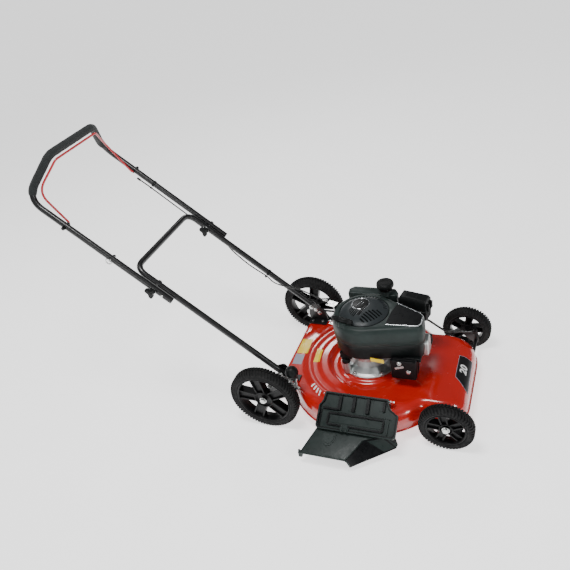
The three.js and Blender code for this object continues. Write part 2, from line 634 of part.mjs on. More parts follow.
function sparkPlug() {
  const seat = rodY(PLUG.x, PLUG.z, 0.3, 10, 9, 6);
  return join(seat, rodY(PLUG.x, PLUG.z, 9, 26, 5, 12));
}

function plugCap() {
  const sleeve = rodY(PLUG.x, PLUG.z, 12, 36, 9, 14);
  const elbow = rod([PLUG.x, 30, PLUG.z - 4], [PLUG.x, 30, PLUG.z + 26], 8, 14);
  return cut(join(sleeve, elbow), rodY(PLUG.x, PLUG.z, 4, 28, 5.4, 12));
}

piece('crankcase', crankcase(), ALLOY);
piece('cylinder_block', cylinderBlock(), ALLOY);
piece('engine_shroud', shroud(), GREY_PLASTIC);
piece('recoil_housing', recoilHousing(), BLACK_PLASTIC);
piece('fuel_tank', fuelTank(), GREY_PLASTIC);
piece('fuel_cap', fuelCap(), BLACK_PLASTIC);
piece('air_filter_base', filterBase(), BLACK_PLASTIC);
piece('air_filter_cover', filterCover(), BLACK_PLASTIC);
piece('air_filter_element', onFilter(box(-47, 47, -20, 20, 282, 294)), FOAM);
piece('carburettor', carburettor(), ALLOY);
piece('muffler', muffler(), BLACK_PAINT);
piece('spark_plug', sparkPlug(), ZINC);
piece('spark_plug_cap', plugCap(), BLACK_PLASTIC);

function oilCap() {
  const cap = rod([...OIL_NECK, 172.4], [...OIL_NECK, 188], 15);
  return join(cap, rod([...OIL_NECK, 146], [...OIL_NECK, 173], 2.5, 8));
}

piece('oil_filler_cap', oilCap(), BLACK_PLASTIC);

// ---------- crankshaft, flywheel and blade ----------
const onSpindle = (z) => [SPINDLE.x, SPINDLE.y, z];
const spin = (z0, z1, radius, sides = 20) => rod(onSpindle(z0), onSpindle(z1), radius, sides);

function crankshaft() {
  const web = (z) => loft([z, z + 9].map((at) => ringAt(
    beltOutline([[SPINDLE.x, SPINDLE.y, 22], [SPINDLE.x + 22, SPINDLE.y, 14]], 0, 20), at)));
  const pin = rod([SPINDLE.x + 22, SPINDLE.y, 158], [SPINDLE.x + 22, SPINDLE.y, 180], 10, 14);
  return join(spin(66, 158, 12.5), web(151), pin, web(176), spin(180, 284, 11));
}

function flywheel() {
  const disc = turned([[11.4, 232], [76, 232], [80, 238], [80, 250], [30, 250], [24, 262], [11.4, 262]],
    SPINDLE.x, SPINDLE.y, 24);
  const fins = [];
  for (let k = 0; k < 6; k += 1) {
    fins.push(box(40, 76, -1.5, 1.5, 249, 272).rotateZ((k / 6) * 2 * Math.PI).translate(SPINDLE.x, SPINDLE.y, 0));
  }
  return join(disc, ...fins);
}

function bladeAdapter() {
  return turned([[12.9, 66], [22, 66], [32, 66], [32, 72], [20, 76], [18, 108], [12.9, 108]],
    SPINDLE.x, SPINDLE.y, 20);
}

const BLADE_TURN = THREE.MathUtils.degToRad(62);

function blade() {
  const bar = box(-254, 254, -28, 28, 60, 63.5);
  const wings = [-1, 1].map((side) => {
    const section = [[196, -28, 60], [250, -28, 60], [250, -28, 63.5], [196, -28, 63.5]];
    const raised = [[196, -40, 78], [250, -40, 78], [250, -38, 81], [196, -38, 81]];
    const ring = (points) => points.map(([x, y, z]) => new THREE.Vector3(side * x, side * y, z));
    return loft([ring(section.map(([x, y, z]) => [x, y + 2, z])), ring(raised)]);
  });
  const bore = rod([0, 0, 50], [0, 0, 70], 5.4, 14);
  return cut(join(bar, ...wings), bore).rotateZ(BLADE_TURN).translate(SPINDLE.x, SPINDLE.y, 0);
}

function bladeBolt() {
  return join(spin(52, 59.7, 10, 6), spin(56, 59.7, 16, 18), spin(59, 65.6, 5, 12));
}

piece('crankshaft', crankshaft(), ZINC);
piece('flywheel', flywheel(), ALLOY);
piece('blade_adapter', bladeAdapter(), IRON);
piece('blade', blade(), IRON);
piece('blade_bolt', bladeBolt(), ZINC);

// ---------- recoil starter ----------
function recoilPulley() {
  return turned([[6, 316], [38, 316], [40, 320], [35, 324], [35, 330], [40, 334], [38, 338], [6, 338]],
    SPINDLE.x, SPINDLE.y, 24);
}

function starterGrip() {
  const along = new THREE.Vector3(0.97, -0.243, 0);
  const middle = new THREE.Vector3(-66, -88, 360);
  const end = (t) => middle.clone().addScaledVector(along, t).toArray();
  const bar = join(rod(end(-40), end(-26), 6.5, 12, 8), rod(end(-27), end(27), 8, 12),
    rod(end(26), end(40), 8, 12, 6.5));
  const way = new THREE.Vector3(0.912, 0.186, -0.367);
  const neck = rod(middle.toArray(), middle.clone().addScaledVector(way, 10).toArray(), 5, 10, 3.5);
  return join(bar, neck);
}

piece('recoil_pulley', recoilPulley(), BLACK_PLASTIC);
piece('starter_grip', starterGrip(), BLACK_PLASTIC);

// ---------- engine brake ----------
const BRAKE_TURN = THREE.MathUtils.degToRad(165);
const onBrake = (geometry) => geometry.rotateZ(BRAKE_TURN).translate(SPINDLE.x, SPINDLE.y, 0);

function cableBracket() {
  return onBrake(join(box(114, 117, -14, 14, 240, 340), box(116, 150, -14, 14, 337.5, 340),
    box(116, 134, -12, 12, 240, 243)));
}

function brakeLever() {
  const plate = box(121, 156, -6, 6, 243.4, 246.4);
  return onBrake(join(plate, rod([127, 0, 246], [127, 0, 253], 4, 10), rod([152, 0, 246], [152, 0, 256], 2.5, 8)));
}

piece('brake_cable_bracket', cableBracket(), ZINC);
piece('brake_lever', brakeLever(), ZINC);

// ---------- handle ----------
function pipe(stations) {
  const last = stations.length - 1;
  const extend = (from, to) => to.clone().sub(from).normalize().multiplyScalar(3).add(to);
  const bore = [extend(stations[1], stations[0]), ...stations.slice(1, last),
    extend(stations[last - 1], stations[last])];
  return cut(sweep(stations, TUBE_R, 8), sweep(bore, TUBE_BORE, 8));
}

function lowerHandle() {
  const corners = [leg(-12, -LOWER_Y), leg(CROSSBAR_L, -LOWER_Y), leg(CROSSBAR_L, LOWER_Y), leg(-12, LOWER_Y)];
  return cut(pipe(bent(corners, [44, 44], 4)), rodFold(-1, 30), rodFold(1, 30));
}

function upperStations() {
  const top = (side) => new THREE.Vector3(GRIP_BAR.x, side * GRIP_BAR.half, GRIP_BAR.z);
  const corners = [leg(UPPER_START_L, -UPPER_Y), leg(UPPER_END_L, -UPPER_Y), top(-1), top(1),
    leg(UPPER_END_L, UPPER_Y), leg(UPPER_START_L, UPPER_Y)];
  return bent(corners, [70, 45, 45, 70], UPPER_BEND_STEPS);
}

// A hole for the fold bolt, right through both tubes on one side.
function rodFold(side, reach) {
  const at = leg(FOLD_L, 0);
  const middle = side * (LOWER_Y + UPPER_Y) / 2;
  return rodY(at.x, at.z, middle - reach, middle + reach, 4.4, 12);
}

function upperHandle() {
  const at = leg(BAIL_L, 0);
  const bailHole = rodY(at.x, at.z, -260, 260, 4, 12);
  return cut(pipe(upperStations()), rodFold(-1, 30), rodFold(1, 30), bailHole);
}

function foamGrip() {
  const stations = upperStations();
  const wrapped = stations.slice(UPPER_BEND_STEPS, -UPPER_BEND_STEPS);
  const bore = stations.slice(UPPER_BEND_STEPS - 1, 1 - UPPER_BEND_STEPS);
  return cut(sweep(wrapped, 16.5, 10), sweep(bore, 12.2, 8));
}

// A rod loop: its ends turn outward through the handle tubes, where it pivots.
function bail() {
  const foot = leg(BAIL_L, 0);
  const at = (dx, y, dz) => new THREE.Vector3(foot.x + dx, y, foot.z + dz);
  const right = [at(0, -240, 0), at(0, -200, 0), at(-80, -200, 116), at(-34, -116, 197)];
  const left = right.map((p) => new THREE.Vector3(p.x, -p.y, p.z)).reverse();
  return sweep(bent([...right, ...left], [8, 60, 26, 26, 60, 8], 4), 3.3, 8);
}

function foldBolt(side) {
  const at = leg(FOLD_L, 0);
  const [headY, tipY] = side > 0 ? [232.5, 166] : [-180, -246];
  const head = rodY(at.x, at.z, headY, headY + Math.sign(headY - tipY) * 4, 9, 14);
  return join(rodY(at.x, at.z, headY, tipY, 4, 12), head);
}

// A three-lobed hand nut on the bolt's thread.
function wingKnob(y0, y1) {
  const at = leg(FOLD_L, 0);
  const away = Math.sign(y1 - y0);
  const parts = [rodY(at.x, at.z, y0, y1, 9, 14)];
  for (let k = 0; k < 3; k += 1) {
    const angle = (k / 3) * 2 * Math.PI + 0.4;
    const [x, z] = [at.x + 15 * Math.cos(angle), at.z + 15 * Math.sin(angle)];
    parts.push(rodY(x, z, y0 + away * 6, y1, 7, 12));
  }
  return cut(join(...parts), rodY(at.x, at.z, y0 - away * 5, y1 - away * 3, 4.4, 12));
}

function cableRoute() {
  return {
    upper: [leg(878, 206, -15), leg(813, 207, -15), leg(700, 206, -16), leg(620, CABLE_LANE, -17),
      leg(FOLD_L + 0.4, CABLE_LANE, -16)],
    lower: [leg(FOLD_L - 0.4, CABLE_LANE - 0.6, -16), leg(455, CABLE_LANE - 2.4, -18), leg(400, 196, -24),
      leg(320, 188, -24), leg(240, 186, -17), leg(205, 178, -14), new THREE.Vector3(-380, 132, 318),
      new THREE.Vector3(-280, 80, 343), new THREE.Vector3(-190, 34, 347), new THREE.Vector3(-151, 20.5, 347)],
  };
}

function cable(points, steps) {
  const curve = new THREE.CatmullRomCurve3(points, false, 'centripetal');
  return sweep(curve.getSpacedPoints(steps), CABLE_R, 8);
}

// A wire eye on the right tube that takes the starter rope.
function ropeGuide() {
  const centre = leg(716, -UPPER_Y - 26, 4);
  const eye = [];
  for (let k = 0; k <= 10; k += 1) {
    const angle = Math.PI * (0.25 + 1.6 * (k / 10));
    eye.push(new THREE.Vector3(centre.x + 11 * Math.cos(angle), centre.y + 0.6 * k, centre.z + 11 * Math.sin(angle)));
  }
  const root = leg(716, -UPPER_Y - TUBE_R - 2.5, 0);
  const last = eye[10];
  return sweep([...eye, last.clone().lerp(root, 0.5), root], 2, 8);
}

piece('lower_handle', lowerHandle(), BLACK_PAINT);
piece('upper_handle', upperHandle(), BLACK_PAINT);
piece('foam_grip', foamGrip(), FOAM);
piece('bail', bail(), RED_ROD);
piece('left_fold_bolt', foldBolt(1), ZINC);
piece('right_fold_bolt', foldBolt(-1), ZINC);
piece('left_wing_knob', wingKnob(LOWER_Y - TUBE_R - 1, LOWER_Y - TUBE_R - 22), BLACK_PLASTIC);
piece('right_wing_knob', wingKnob(-UPPER_Y - TUBE_R - 1, -UPPER_Y - TUBE_R - 22), BLACK_PLASTIC);
piece('brake_cable_upper', cable(cableRoute().upper, 16), BLACK_PLASTIC);
piece('brake_cable_lower', cable(cableRoute().lower, 28), BLACK_PLASTIC);
piece('rope_guide', ropeGuide(), ZINC);

export default mower;
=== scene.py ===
import math

import bmesh
import bpy
from mathutils import Matrix, Vector


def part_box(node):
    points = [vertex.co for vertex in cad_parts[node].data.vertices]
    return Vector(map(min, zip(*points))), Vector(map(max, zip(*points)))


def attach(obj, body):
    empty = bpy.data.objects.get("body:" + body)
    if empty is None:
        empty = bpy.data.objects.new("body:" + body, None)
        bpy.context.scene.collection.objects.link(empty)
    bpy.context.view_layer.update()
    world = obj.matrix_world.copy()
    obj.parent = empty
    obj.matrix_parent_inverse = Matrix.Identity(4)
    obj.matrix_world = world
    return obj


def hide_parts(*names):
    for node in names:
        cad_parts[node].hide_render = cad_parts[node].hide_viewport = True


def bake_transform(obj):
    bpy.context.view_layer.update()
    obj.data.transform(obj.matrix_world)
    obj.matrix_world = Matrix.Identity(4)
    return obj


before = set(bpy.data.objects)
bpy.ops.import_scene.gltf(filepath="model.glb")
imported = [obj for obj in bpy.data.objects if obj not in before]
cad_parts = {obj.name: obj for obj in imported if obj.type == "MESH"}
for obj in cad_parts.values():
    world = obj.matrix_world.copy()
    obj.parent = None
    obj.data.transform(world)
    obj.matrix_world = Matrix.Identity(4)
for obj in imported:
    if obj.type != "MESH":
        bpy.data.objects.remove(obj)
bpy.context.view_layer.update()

# ---------------------------------------------------------------- sizes
# Shapes are worked out in the mower's own millimetres: x forward and y left from the engine's middle,
# z up from the ground. SHIFT takes them to the frame's metres.
MM = 0.001
WELD = 2e-6  # metres
BEVEL_ANGLE, CAD_BEVEL_ANGLE, CAD_BEVEL = 32, 38, 0.5
SPINDLE = Vector((-5, -19, 0))  # the crankshaft's axis
PULLEY_LOW, PULLEY_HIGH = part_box("recoil_pulley")
SHIFT = (PULLEY_LOW + PULLEY_HIGH) / 2 - SPINDLE * MM
SHIFT.z = 0
# Corner radii run from the rear right round by the front right.
DECK = {"bottom": 48, "sheet": 2, "mount": 122, "housing": 290, "nose": 352, "nose_half": 190,
        "nose_corners": (70, 58, 105, 70), "tail": -305, "tail_half": 181, "tail_corners": (34, 34, 34, 34)}
# x, y, tyre radius, bead radius and width of each wheel
WHEELS = {"front_left": (300, 253, 89, 66, 40), "front_right": (300, -253, 89, 66, 40),
          "rear_left": (-321, 275, 127, 100, 44), "rear_right": (-321, -275, 127, 100, 44)}
LUG_SPACING, LUG_WIDTH = 11.5, 6.4
HUB_SHARE, SPOKES = 0.345, 5  # the hub's cup as a share of the bead radius, and the spokes of each wheel
ROD_RADIUS = {"bail": 3.9, "cable": 2.5, "link": 4.2, "rope": 2, "spring": 1.3}
COVER_FACE = 10.2  # the cover's outer face above its slope
SLOT_LOW, SLOT_HIGH = 336, 368
LEG_FOOT = Vector((-273, 0, 174))
LEG_TILT = math.radians(41.2)
LOWER_Y, UPPER_Y, TUBE, FOAM_RADIUS = 192, 220, 11, 14.6
# Stations along the sloping leg, measured from its foot
FOLD, CROSSBAR, UPPER_START, UPPER_END, BAIL = 540, 635, 465, 1062, 905
ROPE_EYE, STOP_BOLT = 716, 505
GRIP_BAR = {"x": -1000, "z": 988, "half": 124}
HINGE = Vector((0, -224, 136))
COVER_SLOPE = math.radians(31.4)
# x, y and radius of the circles that the shroud's outline is stretched round
SHROUD_CIRCLES = ((-5, -19, 113), (180, -62, 28), (172, -14, 28))
SHROUD_SIDES = 160
REAR_PIVOT = Vector((-285, 0, 95))
FILTER = {"x": 147, "y": 86, "turn": math.radians(-13)}
CAP_SPOT, OIL_SPOT = (39, 115, 0), (-68, -95, 0)
SPOKE_START = {"left": math.radians(6), "right": math.radians(30)}
CAMERA = {"aim": (-229.5, -121.6, 510.2), "distance": 2000, "azimuth": 27.67, "rise": 33.53, "roll": -12.2,
          "lens": 38.22, "sensor": 36}
FLOOR_GLOW, SKY_LIGHT, FLOOR_HALF = 1.3, 0.16, 60  # the floor's half width is in metres


def at(point):
    return Vector(point) * MM + SHIFT


def smooth(low, high, value):
    t = min(max((value - low) / (high - low), 0), 1)
    return t * t * (3 - 2 * t)


def mix(a, b, t):
    return a + (b - a) * t


def polar(radius, angle, z=0):
    return Vector((radius * math.cos(angle), radius * math.sin(angle), z))


def circle(count):
    """Evenly spaced angles of one full turn."""
    return [2 * math.pi * k / count for k in range(count)]


# ---------------------------------------------------------------- mesh helpers
def rounded(points, radii, steps=6):
    """The polyline with its inner corners turned into curves that leave room for each radius."""
    points = [Vector(p) for p in points]
    radii = [radii] * (len(points) - 2) if isinstance(radii, (int, float)) else radii
    out = [points[0]]
    for before, corner, after, radius in zip(points, points[1:], points[2:], radii):
        back, ahead = before - corner, after - corner
        half = back.angle(ahead, math.pi) / 2
        trim = min(radius / math.tan(max(half, 0.05)), 0.49 * back.length, 0.49 * ahead.length)
        start, end = corner + back.normalized() * trim, corner + ahead.normalized() * trim
        for k in range(steps + 1):
            t = k / steps
            out.append(start * (1 - t) ** 2 + corner * 2 * t * (1 - t) + end * t * t)
    out.append(points[-1])
    return out


def rounded_loop(points, radius, steps=6):
    """A closed outline with every corner rounded."""
    points = [Vector(p) for p in points]
    middle = (points[-1] + points[0]) / 2
    return rounded([middle, *points, middle], radius, steps)[:-1]


def rectangle(x0, x1, y0, y1, radius, steps=6):
    """A closed rectangle with rounded corners."""
    return rounded_loop([(x0, y0), (x1, y0), (x1, y1), (x0, y1)], radius, steps)


class Form:
    """Closed shells gathered into one mesh."""

    def __init__(self):
        self.verts, self.faces = [], []

    def add(self, verts, faces):
        first = len(self.verts)
        self.verts += [Vector(v) for v in verts]
        self.faces += [[first + i for i in face] for face in faces]
        return self

    def loft(self, rings, closed=False, caps=True):
        count = len(rings[0])
        faces = []
        for i in range(len(rings) if closed else len(rings) - 1):
            low, high = i * count, (i + 1) % len(rings) * count
            for j in range(count):
                k = (j + 1) % count
                faces.append([low + j, low + k, high + k, high + j])
        if caps and not closed:
            faces += [list(range(count)), list(range((len(rings) - 1) * count, len(rings) * count))]
        return self.add([p for ring in rings for p in ring], faces)

    def turned(self, profile, base=(0, 0, 0), along=(0, 0, 1), sides=64, wave=None):
        """A solid of revolution: profile points are (radius, height) from base along the given way."""
        turn = Vector((0, 0, 1)).rotation_difference(Vector(along))
        rings = []
        for i in range(sides):
            angle = 2 * math.pi * i / sides
            swell = wave(angle) if wave else 1
            rings.append([turn @ polar(p[0] * swell, angle, p[1]) + Vector(base) for p in profile])
        count = len(profile)
        shut = profile[0][0] > 1e-6
        faces = []
        for i in range(sides):
            low, high = i * count, (i + 1) % sides * count
            for j in range(count if shut else count - 1):
                k = (j + 1) % count
                faces.append([low + j, low + k, high + k, high + j])
        return self.add([p for ring in rings for p in ring], faces)

    def rod(self, start, end, radius, sides=28, edge=0.6):
        length = (Vector(end) - Vector(start)).length
        edge = min(edge, radius / 3, length / 3)
        inner = radius - edge
        profile = [(0, 0), (inner, 0), (radius, edge), (radius, length - edge), (inner, length), (0, length)]
        return self.turned(profile, start, Vector(end) - Vector(start), sides)

    def prism(self, outline, low, high, place=None):
        rings = [[Vector((p[0], p[1], z)) for p in outline] for z in (low, high)]
        if place:
            rings = [[place @ p for p in ring] for ring in rings]
        return self.loft(rings)

    def box(self, x0, x1, y0, y1, z0, z1, place=None):
        return self.prism([(x0, y0), (x1, y0), (x1, y1), (x0, y1)], z0, z1, place)

    def tube(self, points, radius, sides=20):
        """A round bar along points, of one radius or of one for each point."""
        points = [Vector(p) for p in points]
        radii = [radius] * len(points) if isinstance(radius, (int, float)) else radius
        rings = []
        side = None
        for i, (point, radius) in enumerate(zip(points, radii)):
            way = (points[min(i + 1, len(points) - 1)] - points[max(i - 1, 0)]).normalized()
            if side is None:
                side = way.orthogonal().normalized()
            side = (side - way * side.dot(way)).normalized()
            other = way.cross(side)
            rings.append([point + radius * (side * math.cos(a) + other * math.sin(a)) for a in circle(sides)])
        return self.loft(rings)


def object_of(name, form):
    mesh = bpy.data.meshes.new(name)
    mesh.from_pydata([at(v) for v in form.verts], [], form.faces)
    solid = bmesh.new()
    solid.from_mesh(mesh)
    bmesh.ops.remove_doubles(solid, verts=solid.verts, dist=WELD)
    bmesh.ops.recalc_face_normals(solid, faces=solid.faces)
    solid.to_mesh(mesh)
    solid.free()
    made = bpy.data.objects.new(name, mesh)
    bpy.context.scene.collection.objects.link(made)
    return made


def soften(made, bevel=0.0, sharp=35, segments=3):
    """Rounds a piece's hard edges by bevel millimetres, and shades it smooth between sharp edges."""
    if bevel:
        rounder = made.modifiers.new("rounded_edges", "BEVEL")
        rounder.width = bevel * MM
        rounder.segments = segments
        rounder.limit_method = "ANGLE"
        rounder.angle_limit = math.radians(BEVEL_ANGLE)
        rounder.harden_normals = True
    for face in made.data.polygons:
        face.use_smooth = True
    made.data.set_sharp_from_angle(angle=math.radians(sharp))


def carve(made, cutters):
    """Cuts the cutters out of the piece, and leaves a plain mesh."""
    tool = object_of("cutter", cutters)
    cutter = made.modifiers.new("carve", "BOOLEAN")
    cutter.object = tool
    cutter.operation = "DIFFERENCE"
    cutter.solver = "EXACT"
    shape = bpy.data.meshes.new_from_object(made.evaluated_get(bpy.context.evaluated_depsgraph_get()))
    made.modifiers.clear()
    made.data = shape
    bpy.data.objects.remove(tool)


def piece(name, form, body, finish, nodes=(), bevel=0.0, sharp=35, cutters=(), segments=3):
    """One finished piece: its mesh, its material, the body it rides on and the CAD nodes it stands for."""
    made = object_of(name, form)
    for tools in cutters:
        carve(made, tools)
    made.data.materials.clear()
    made.data.materials.append(finish)
    soften(made, bevel, sharp, segments)
    if body:
        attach(made, body)
    if nodes:
        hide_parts(*nodes)
    return made


# ---------------------------------------------------------------- materials
class Shader:
    """A Principled material whose colour, roughness and bump come from noise."""

    def __init__(self, name, roughness, metallic=0.0, coat=0.0, gloss=0.5):
        self.material = bpy.data.materials.new(name)
        self.material.use_nodes = True
        self.tree = self.material.node_tree
        self.surface = self.tree.nodes["Principled BSDF"]
        self.surface.inputs["Metallic"].default_value = metallic
        self.surface.inputs["Coat Weight"].default_value = coat
        self.surface.inputs["Coat Roughness"].default_value = 0.06
        self.surface.inputs["Roughness"].default_value = roughness
        self.surface.inputs["Specular IOR Level"].default_value = gloss
        self.height = None
        self.coordinates = self.tree.nodes.new("ShaderNodeTexCoord").outputs["Object"]

    def link(self, output, target):
        self.tree.links.new(output, target)
        return self

    def noise(self, scale, detail=3.0, stretch=None):
        source = self.coordinates
        if stretch:
            mapping = self.tree.nodes.new("ShaderNodeMapping")
            mapping.inputs["Scale"].default_value = stretch
            self.link(source, mapping.inputs["Vector"])
            source = mapping.outputs["Vector"]
        node = self.tree.nodes.new("ShaderNodeTexNoise")
        node.inputs["Scale"].default_value = scale
        node.inputs["Detail"].default_value = detail
        self.link(source, node.inputs["Vector"])
        return node.outputs["Fac"]

    def cells(self, scale):
        node = self.tree.nodes.new("ShaderNodeTexVoronoi")
        node.inputs["Scale"].default_value = scale
        self.link(self.coordinates, node.inputs["Vector"])
        return node.outputs["Distance"]

    def ramp(self, factor, stops):
        node = self.tree.nodes.new("ShaderNodeValToRGB")
        for k, (place, color) in enumerate(stops):
            stop = node.color_ramp.elements[k] if k < 2 else node.color_ramp.elements.new(place)
            stop.position = place
            stop.color = (*color, 1)
        self.link(factor, node.inputs["Fac"])
        return node.outputs["Color"]

    def spread(self, factor, low, high, start=0.3, end=0.7):
        node = self.tree.nodes.new("ShaderNodeMapRange")
        node.inputs["From Min"].default_value = start
        node.inputs["From Max"].default_value = end
        node.inputs["To Min"].default_value = low
        node.inputs["To Max"].default_value = high
        self.link(factor, node.inputs["Value"])
        return node.outputs["Result"]

    def colour(self, stops, scale, detail=4.0, stretch=None):
        tones = self.ramp(self.noise(scale, detail, stretch), stops)
        return self.link(tones, self.surface.inputs["Base Color"])

    def rough(self, low, high, scale, detail=4.0, stretch=None):
        values = self.spread(self.noise(scale, detail, stretch), low, high)
        return self.link(values, self.surface.inputs["Roughness"])

    def bump(self, height, strength, distance):
        node = self.tree.nodes.new("ShaderNodeBump")
        node.inputs["Strength"].default_value = strength
        node.inputs["Distance"].default_value = distance * MM
        self.link(height, node.inputs["Height"])
        if self.height:
            self.link(self.height, node.inputs["Normal"])
        self.height = node.outputs["Normal"]
        return self.link(self.height, self.surface.inputs["Normal"])


def shades(color, spread):
    """Two tones of one colour, for the ends of a noise ramp."""
    dark, light = (tuple(min(c * (1 + part), 1) for c in color) for part in (-spread, spread))
    return [(0.3, dark), (0.7, light)]


def gloss_paint(name, color, roughness=0.16, coat=0.8):
    shader = Shader(name, roughness, coat=coat)
    shader.colour(shades(color, 0.05), 9)
    shader.rough(roughness, roughness + 0.09, 30, 6)
    shader.bump(shader.noise(420, 1), 0.06, 0.12)
    shader.bump(shader.noise(14, 2), 0.12, 0.7)
    return shader.material


def moulded(name, color, roughness=0.42, grain=0.25):
    shader = Shader(name, roughness, gloss=0.16)
    shader.colour(shades(color, 0.16), 22, 6)
    shader.rough(roughness - 0.06, roughness + 0.12, 60, 8)
    shader.bump(shader.noise(2600, 2), grain, 0.08)
    shader.bump(shader.noise(60, 2), 0.05, 0.3)
    return shader.material


def tyre_rubber():
    shader = Shader("tyre_rubber", 0.8, gloss=0.25)
    black, worn, dusty = (0.0055, 0.0055, 0.006), (0.011, 0.011, 0.011), (0.03, 0.029, 0.027)
    shader.colour([(0.35, black), (0.62, worn), (0.9, dusty)], 26, 8)
    shader.rough(0.62, 0.9, 90, 6)
    shader.bump(shader.noise(1500, 3), 0.35, 0.15)
    return shader.material


def foam():
    shader = Shader("grip_foam", 0.75, gloss=0.25)
    shader.colour(shades((0.011, 0.013, 0.013), 0.3), 120, 6)
    shader.bump(shader.cells(900), 0.5, 0.25)
    shader.bump(shader.noise(70, 3), 0.2, 0.8)
    shader.surface.inputs["Sheen Weight"].default_value = 0.12
    return shader.material


def metal(name, color, roughness, stretch=None, grain=0.1, scale=500, spread=0.08):
    shader = Shader(name, roughness, metallic=1.0)
    shader.colour(shades(color, spread), 45, 5)
    shader.rough(roughness - 0.07, roughness + 0.14, scale / 5, 6, stretch)
    shader.bump(shader.noise(scale, 3, stretch), grain, 0.1)
    return shader.material


def printed(name, color):
    """A thin vinyl sticker."""
    shader = Shader(name, 0.34, coat=0.1, gloss=0.3)
    shader.colour(shades(color, 0.06), 60)
    shader.rough(0.28, 0.42, 80)
    shader.bump(shader.noise(300, 2), 0.05, 0.1)
    return shader.material


RED = gloss_paint("deck_red_enamel", (0.47, 0.008, 0.004), 0.19)
BLACK_ENAMEL = gloss_paint("black_enamel", (0.004, 0.004, 0.0045), 0.3, 0.12)
MUFFLER_BLACK = moulded("heat_paint_black", (0.004, 0.004, 0.0045), 0.4, 0.15)
PLASTIC = moulded("black_polypropylene", (0.006, 0.0068, 0.0068), 0.4)
CHUTE_PLASTIC = moulded("chute_polypropylene", (0.019, 0.027, 0.025), 0.3, 0.2)
WHEEL_PLASTIC = moulded("wheel_polypropylene", (0.0045, 0.0045, 0.005), 0.33, 0.2)
SHROUD_GREY = moulded("shroud_grey_green", (0.021, 0.030, 0.028), 0.36, 0.3)
SHROUD_DARK = moulded("shroud_band_black", (0.0065, 0.008, 0.0078), 0.34, 0.3)
# Near-black plastic for the dome's boss and the shroud's panel plate, and also painted shade: the same
# near-black is laid on the chute's sloped side, the cover's ribs and rim band, and the floor under the dome's
# slots, so that they read as shadow
BLACK_AND_PAINTED_SHADE = moulded("black_plastic_and_painted_shade", (0.0035, 0.004, 0.0045), 0.3, 0.15)
# The dome's charcoal is lightened as a painted highlight, so that its fins read bright against the near-black
# floor seen through the slots
DOME_CHARCOAL_AND_PAINTED_HIGHLIGHT = moulded("dome_charcoal_and_painted_highlight", (0.026, 0.031, 0.033), 0.3, 0.15)
TYRE = tyre_rubber()
FOAM = foam()
CABLE = moulded("cable_sheath", (0.009, 0.009, 0.009), 0.3, 0.05)
ROPE = moulded("starter_rope", (0.02, 0.02, 0.02), 0.7, 0.5)
ZINC = metal("zinc_plate", (0.62, 0.63, 0.62), 0.24, (1, 1, 6))
SILVER = metal("bright_trim", (0.66, 0.68, 0.7), 0.22)
ALLOY = metal("cast_aluminium", (0.60, 0.63, 0.62), 0.36, grain=0.3, scale=900)
STEEL = metal("dark_hardened_steel", (0.16, 0.16, 0.165), 0.42, (8, 1, 1), 0.25)
RED_ROD = gloss_paint("bail_red", (0.36, 0.012, 0.018), 0.3, 0.3)
YELLOW = printed("label_yellow", (0.86, 0.6, 0.01))
GREY_LABEL = printed("label_grey", (0.30, 0.30, 0.36))
BLACK_LABEL = printed("label_black", (0.008, 0.008, 0.009))
WHITE_LABEL = printed("label_white", (0.8, 0.8, 0.8))

# ---------------------------------------------------------------- deck
NOSE = rectangle(-200, DECK["nose"], -DECK["nose_half"], DECK["nose_half"], DECK["nose_corners"], 12)
TAIL = rectangle(DECK["tail"], 200, -DECK["tail_half"], DECK["tail_half"], DECK["tail_corners"], 12)


def reach_of(outline, angle):
    """How far a ray from the spindle runs before it leaves the outline."""
    way = Vector((math.cos(angle), math.sin(angle)))
    reach = 0
    for a, b in zip(outline, outline[1:] + outline[:1]):
        start, edge = a - SPINDLE.xy, b - a
        across = way.cross(edge)
        if abs(across) < 1e-9:
            continue
        part = start.cross(way) / across
        if 0 <= part <= 1:
            reach = max(reach, start.cross(edge) / across)
    return reach


def deck_reach(angle):
    def raw(turn):
        return max(DECK["housing"], reach_of(NOSE, turn), reach_of(TAIL, turn))
    step = 2 * math.pi / 120
    return (raw(angle - step) + 2 * raw(angle) + raw(angle + step)) / 4


def deck_relief(radius, angle):
    """Pressed ridges round the back half of the housing, and a soft swelling on the nose."""
    back = smooth(0.05, 0.5, -math.cos(angle))
    ridges = (8 * smooth(144, 154, radius) - 4 * smooth(180, 191, radius) + 3 * smooth(209, 219, radius)
              - 7 * smooth(230, 245, radius))
    x, y = radius * math.cos(angle), radius * math.sin(angle)
    swell = max(0, 1 - ((x - 262) / 70) ** 2 - ((y - 14) / 110) ** 2)
    rib = max(0, 1 - ((x - 150) / 120) ** 2) * math.exp(-((y + 185 - 0.2 * (x - 150)) / 14) ** 2)
    return back * ridges + 5 * swell * swell + 3 * rib


def deck_height(radius, angle):
    """The deck's top surface inside its rounded shoulder."""
    plateau = 119 - 6 * math.cos(angle) + deck_relief(radius, angle)
    seat = mix(DECK["mount"], 113.5, smooth(107, 121, radius))
    return mix(seat, plateau, smooth(134, 152, radius))


def deck_shoulder(angle):
    forward = max(0, math.cos(angle)) ** 2
    rear = smooth(0.45, 0.75, -math.cos(angle))
    return mix(40 + 16 * forward, 13, rear), mix(46 + 6 * forward, 22, rear)


def deck_profile(angle, reach):
    """(radius, height, lean) down the outside of the deck at one angle."""
    width, drop = deck_shoulder(angle)
    edge = reach - width
    radii = [60, 75, 90, *range(103, 121, 3), 121, 125, 129, *range(133, 155, 3), 158]
    radii += [mix(162, edge, k / 22) for k in range(22)]
    points = [(r, deck_height(r, angle), 0) for r in radii]
    top = deck_height(edge, angle)
    for k in range(13):
        lean = k / 12 * math.pi / 2
        points.append((edge + width * math.sin(lean), top - drop * (1 - math.cos(lean)), lean))
    points += [(reach, 54, math.pi / 2), (reach + 1.5, 51, 1.2), (reach + 5, 50, 0)]
    return points


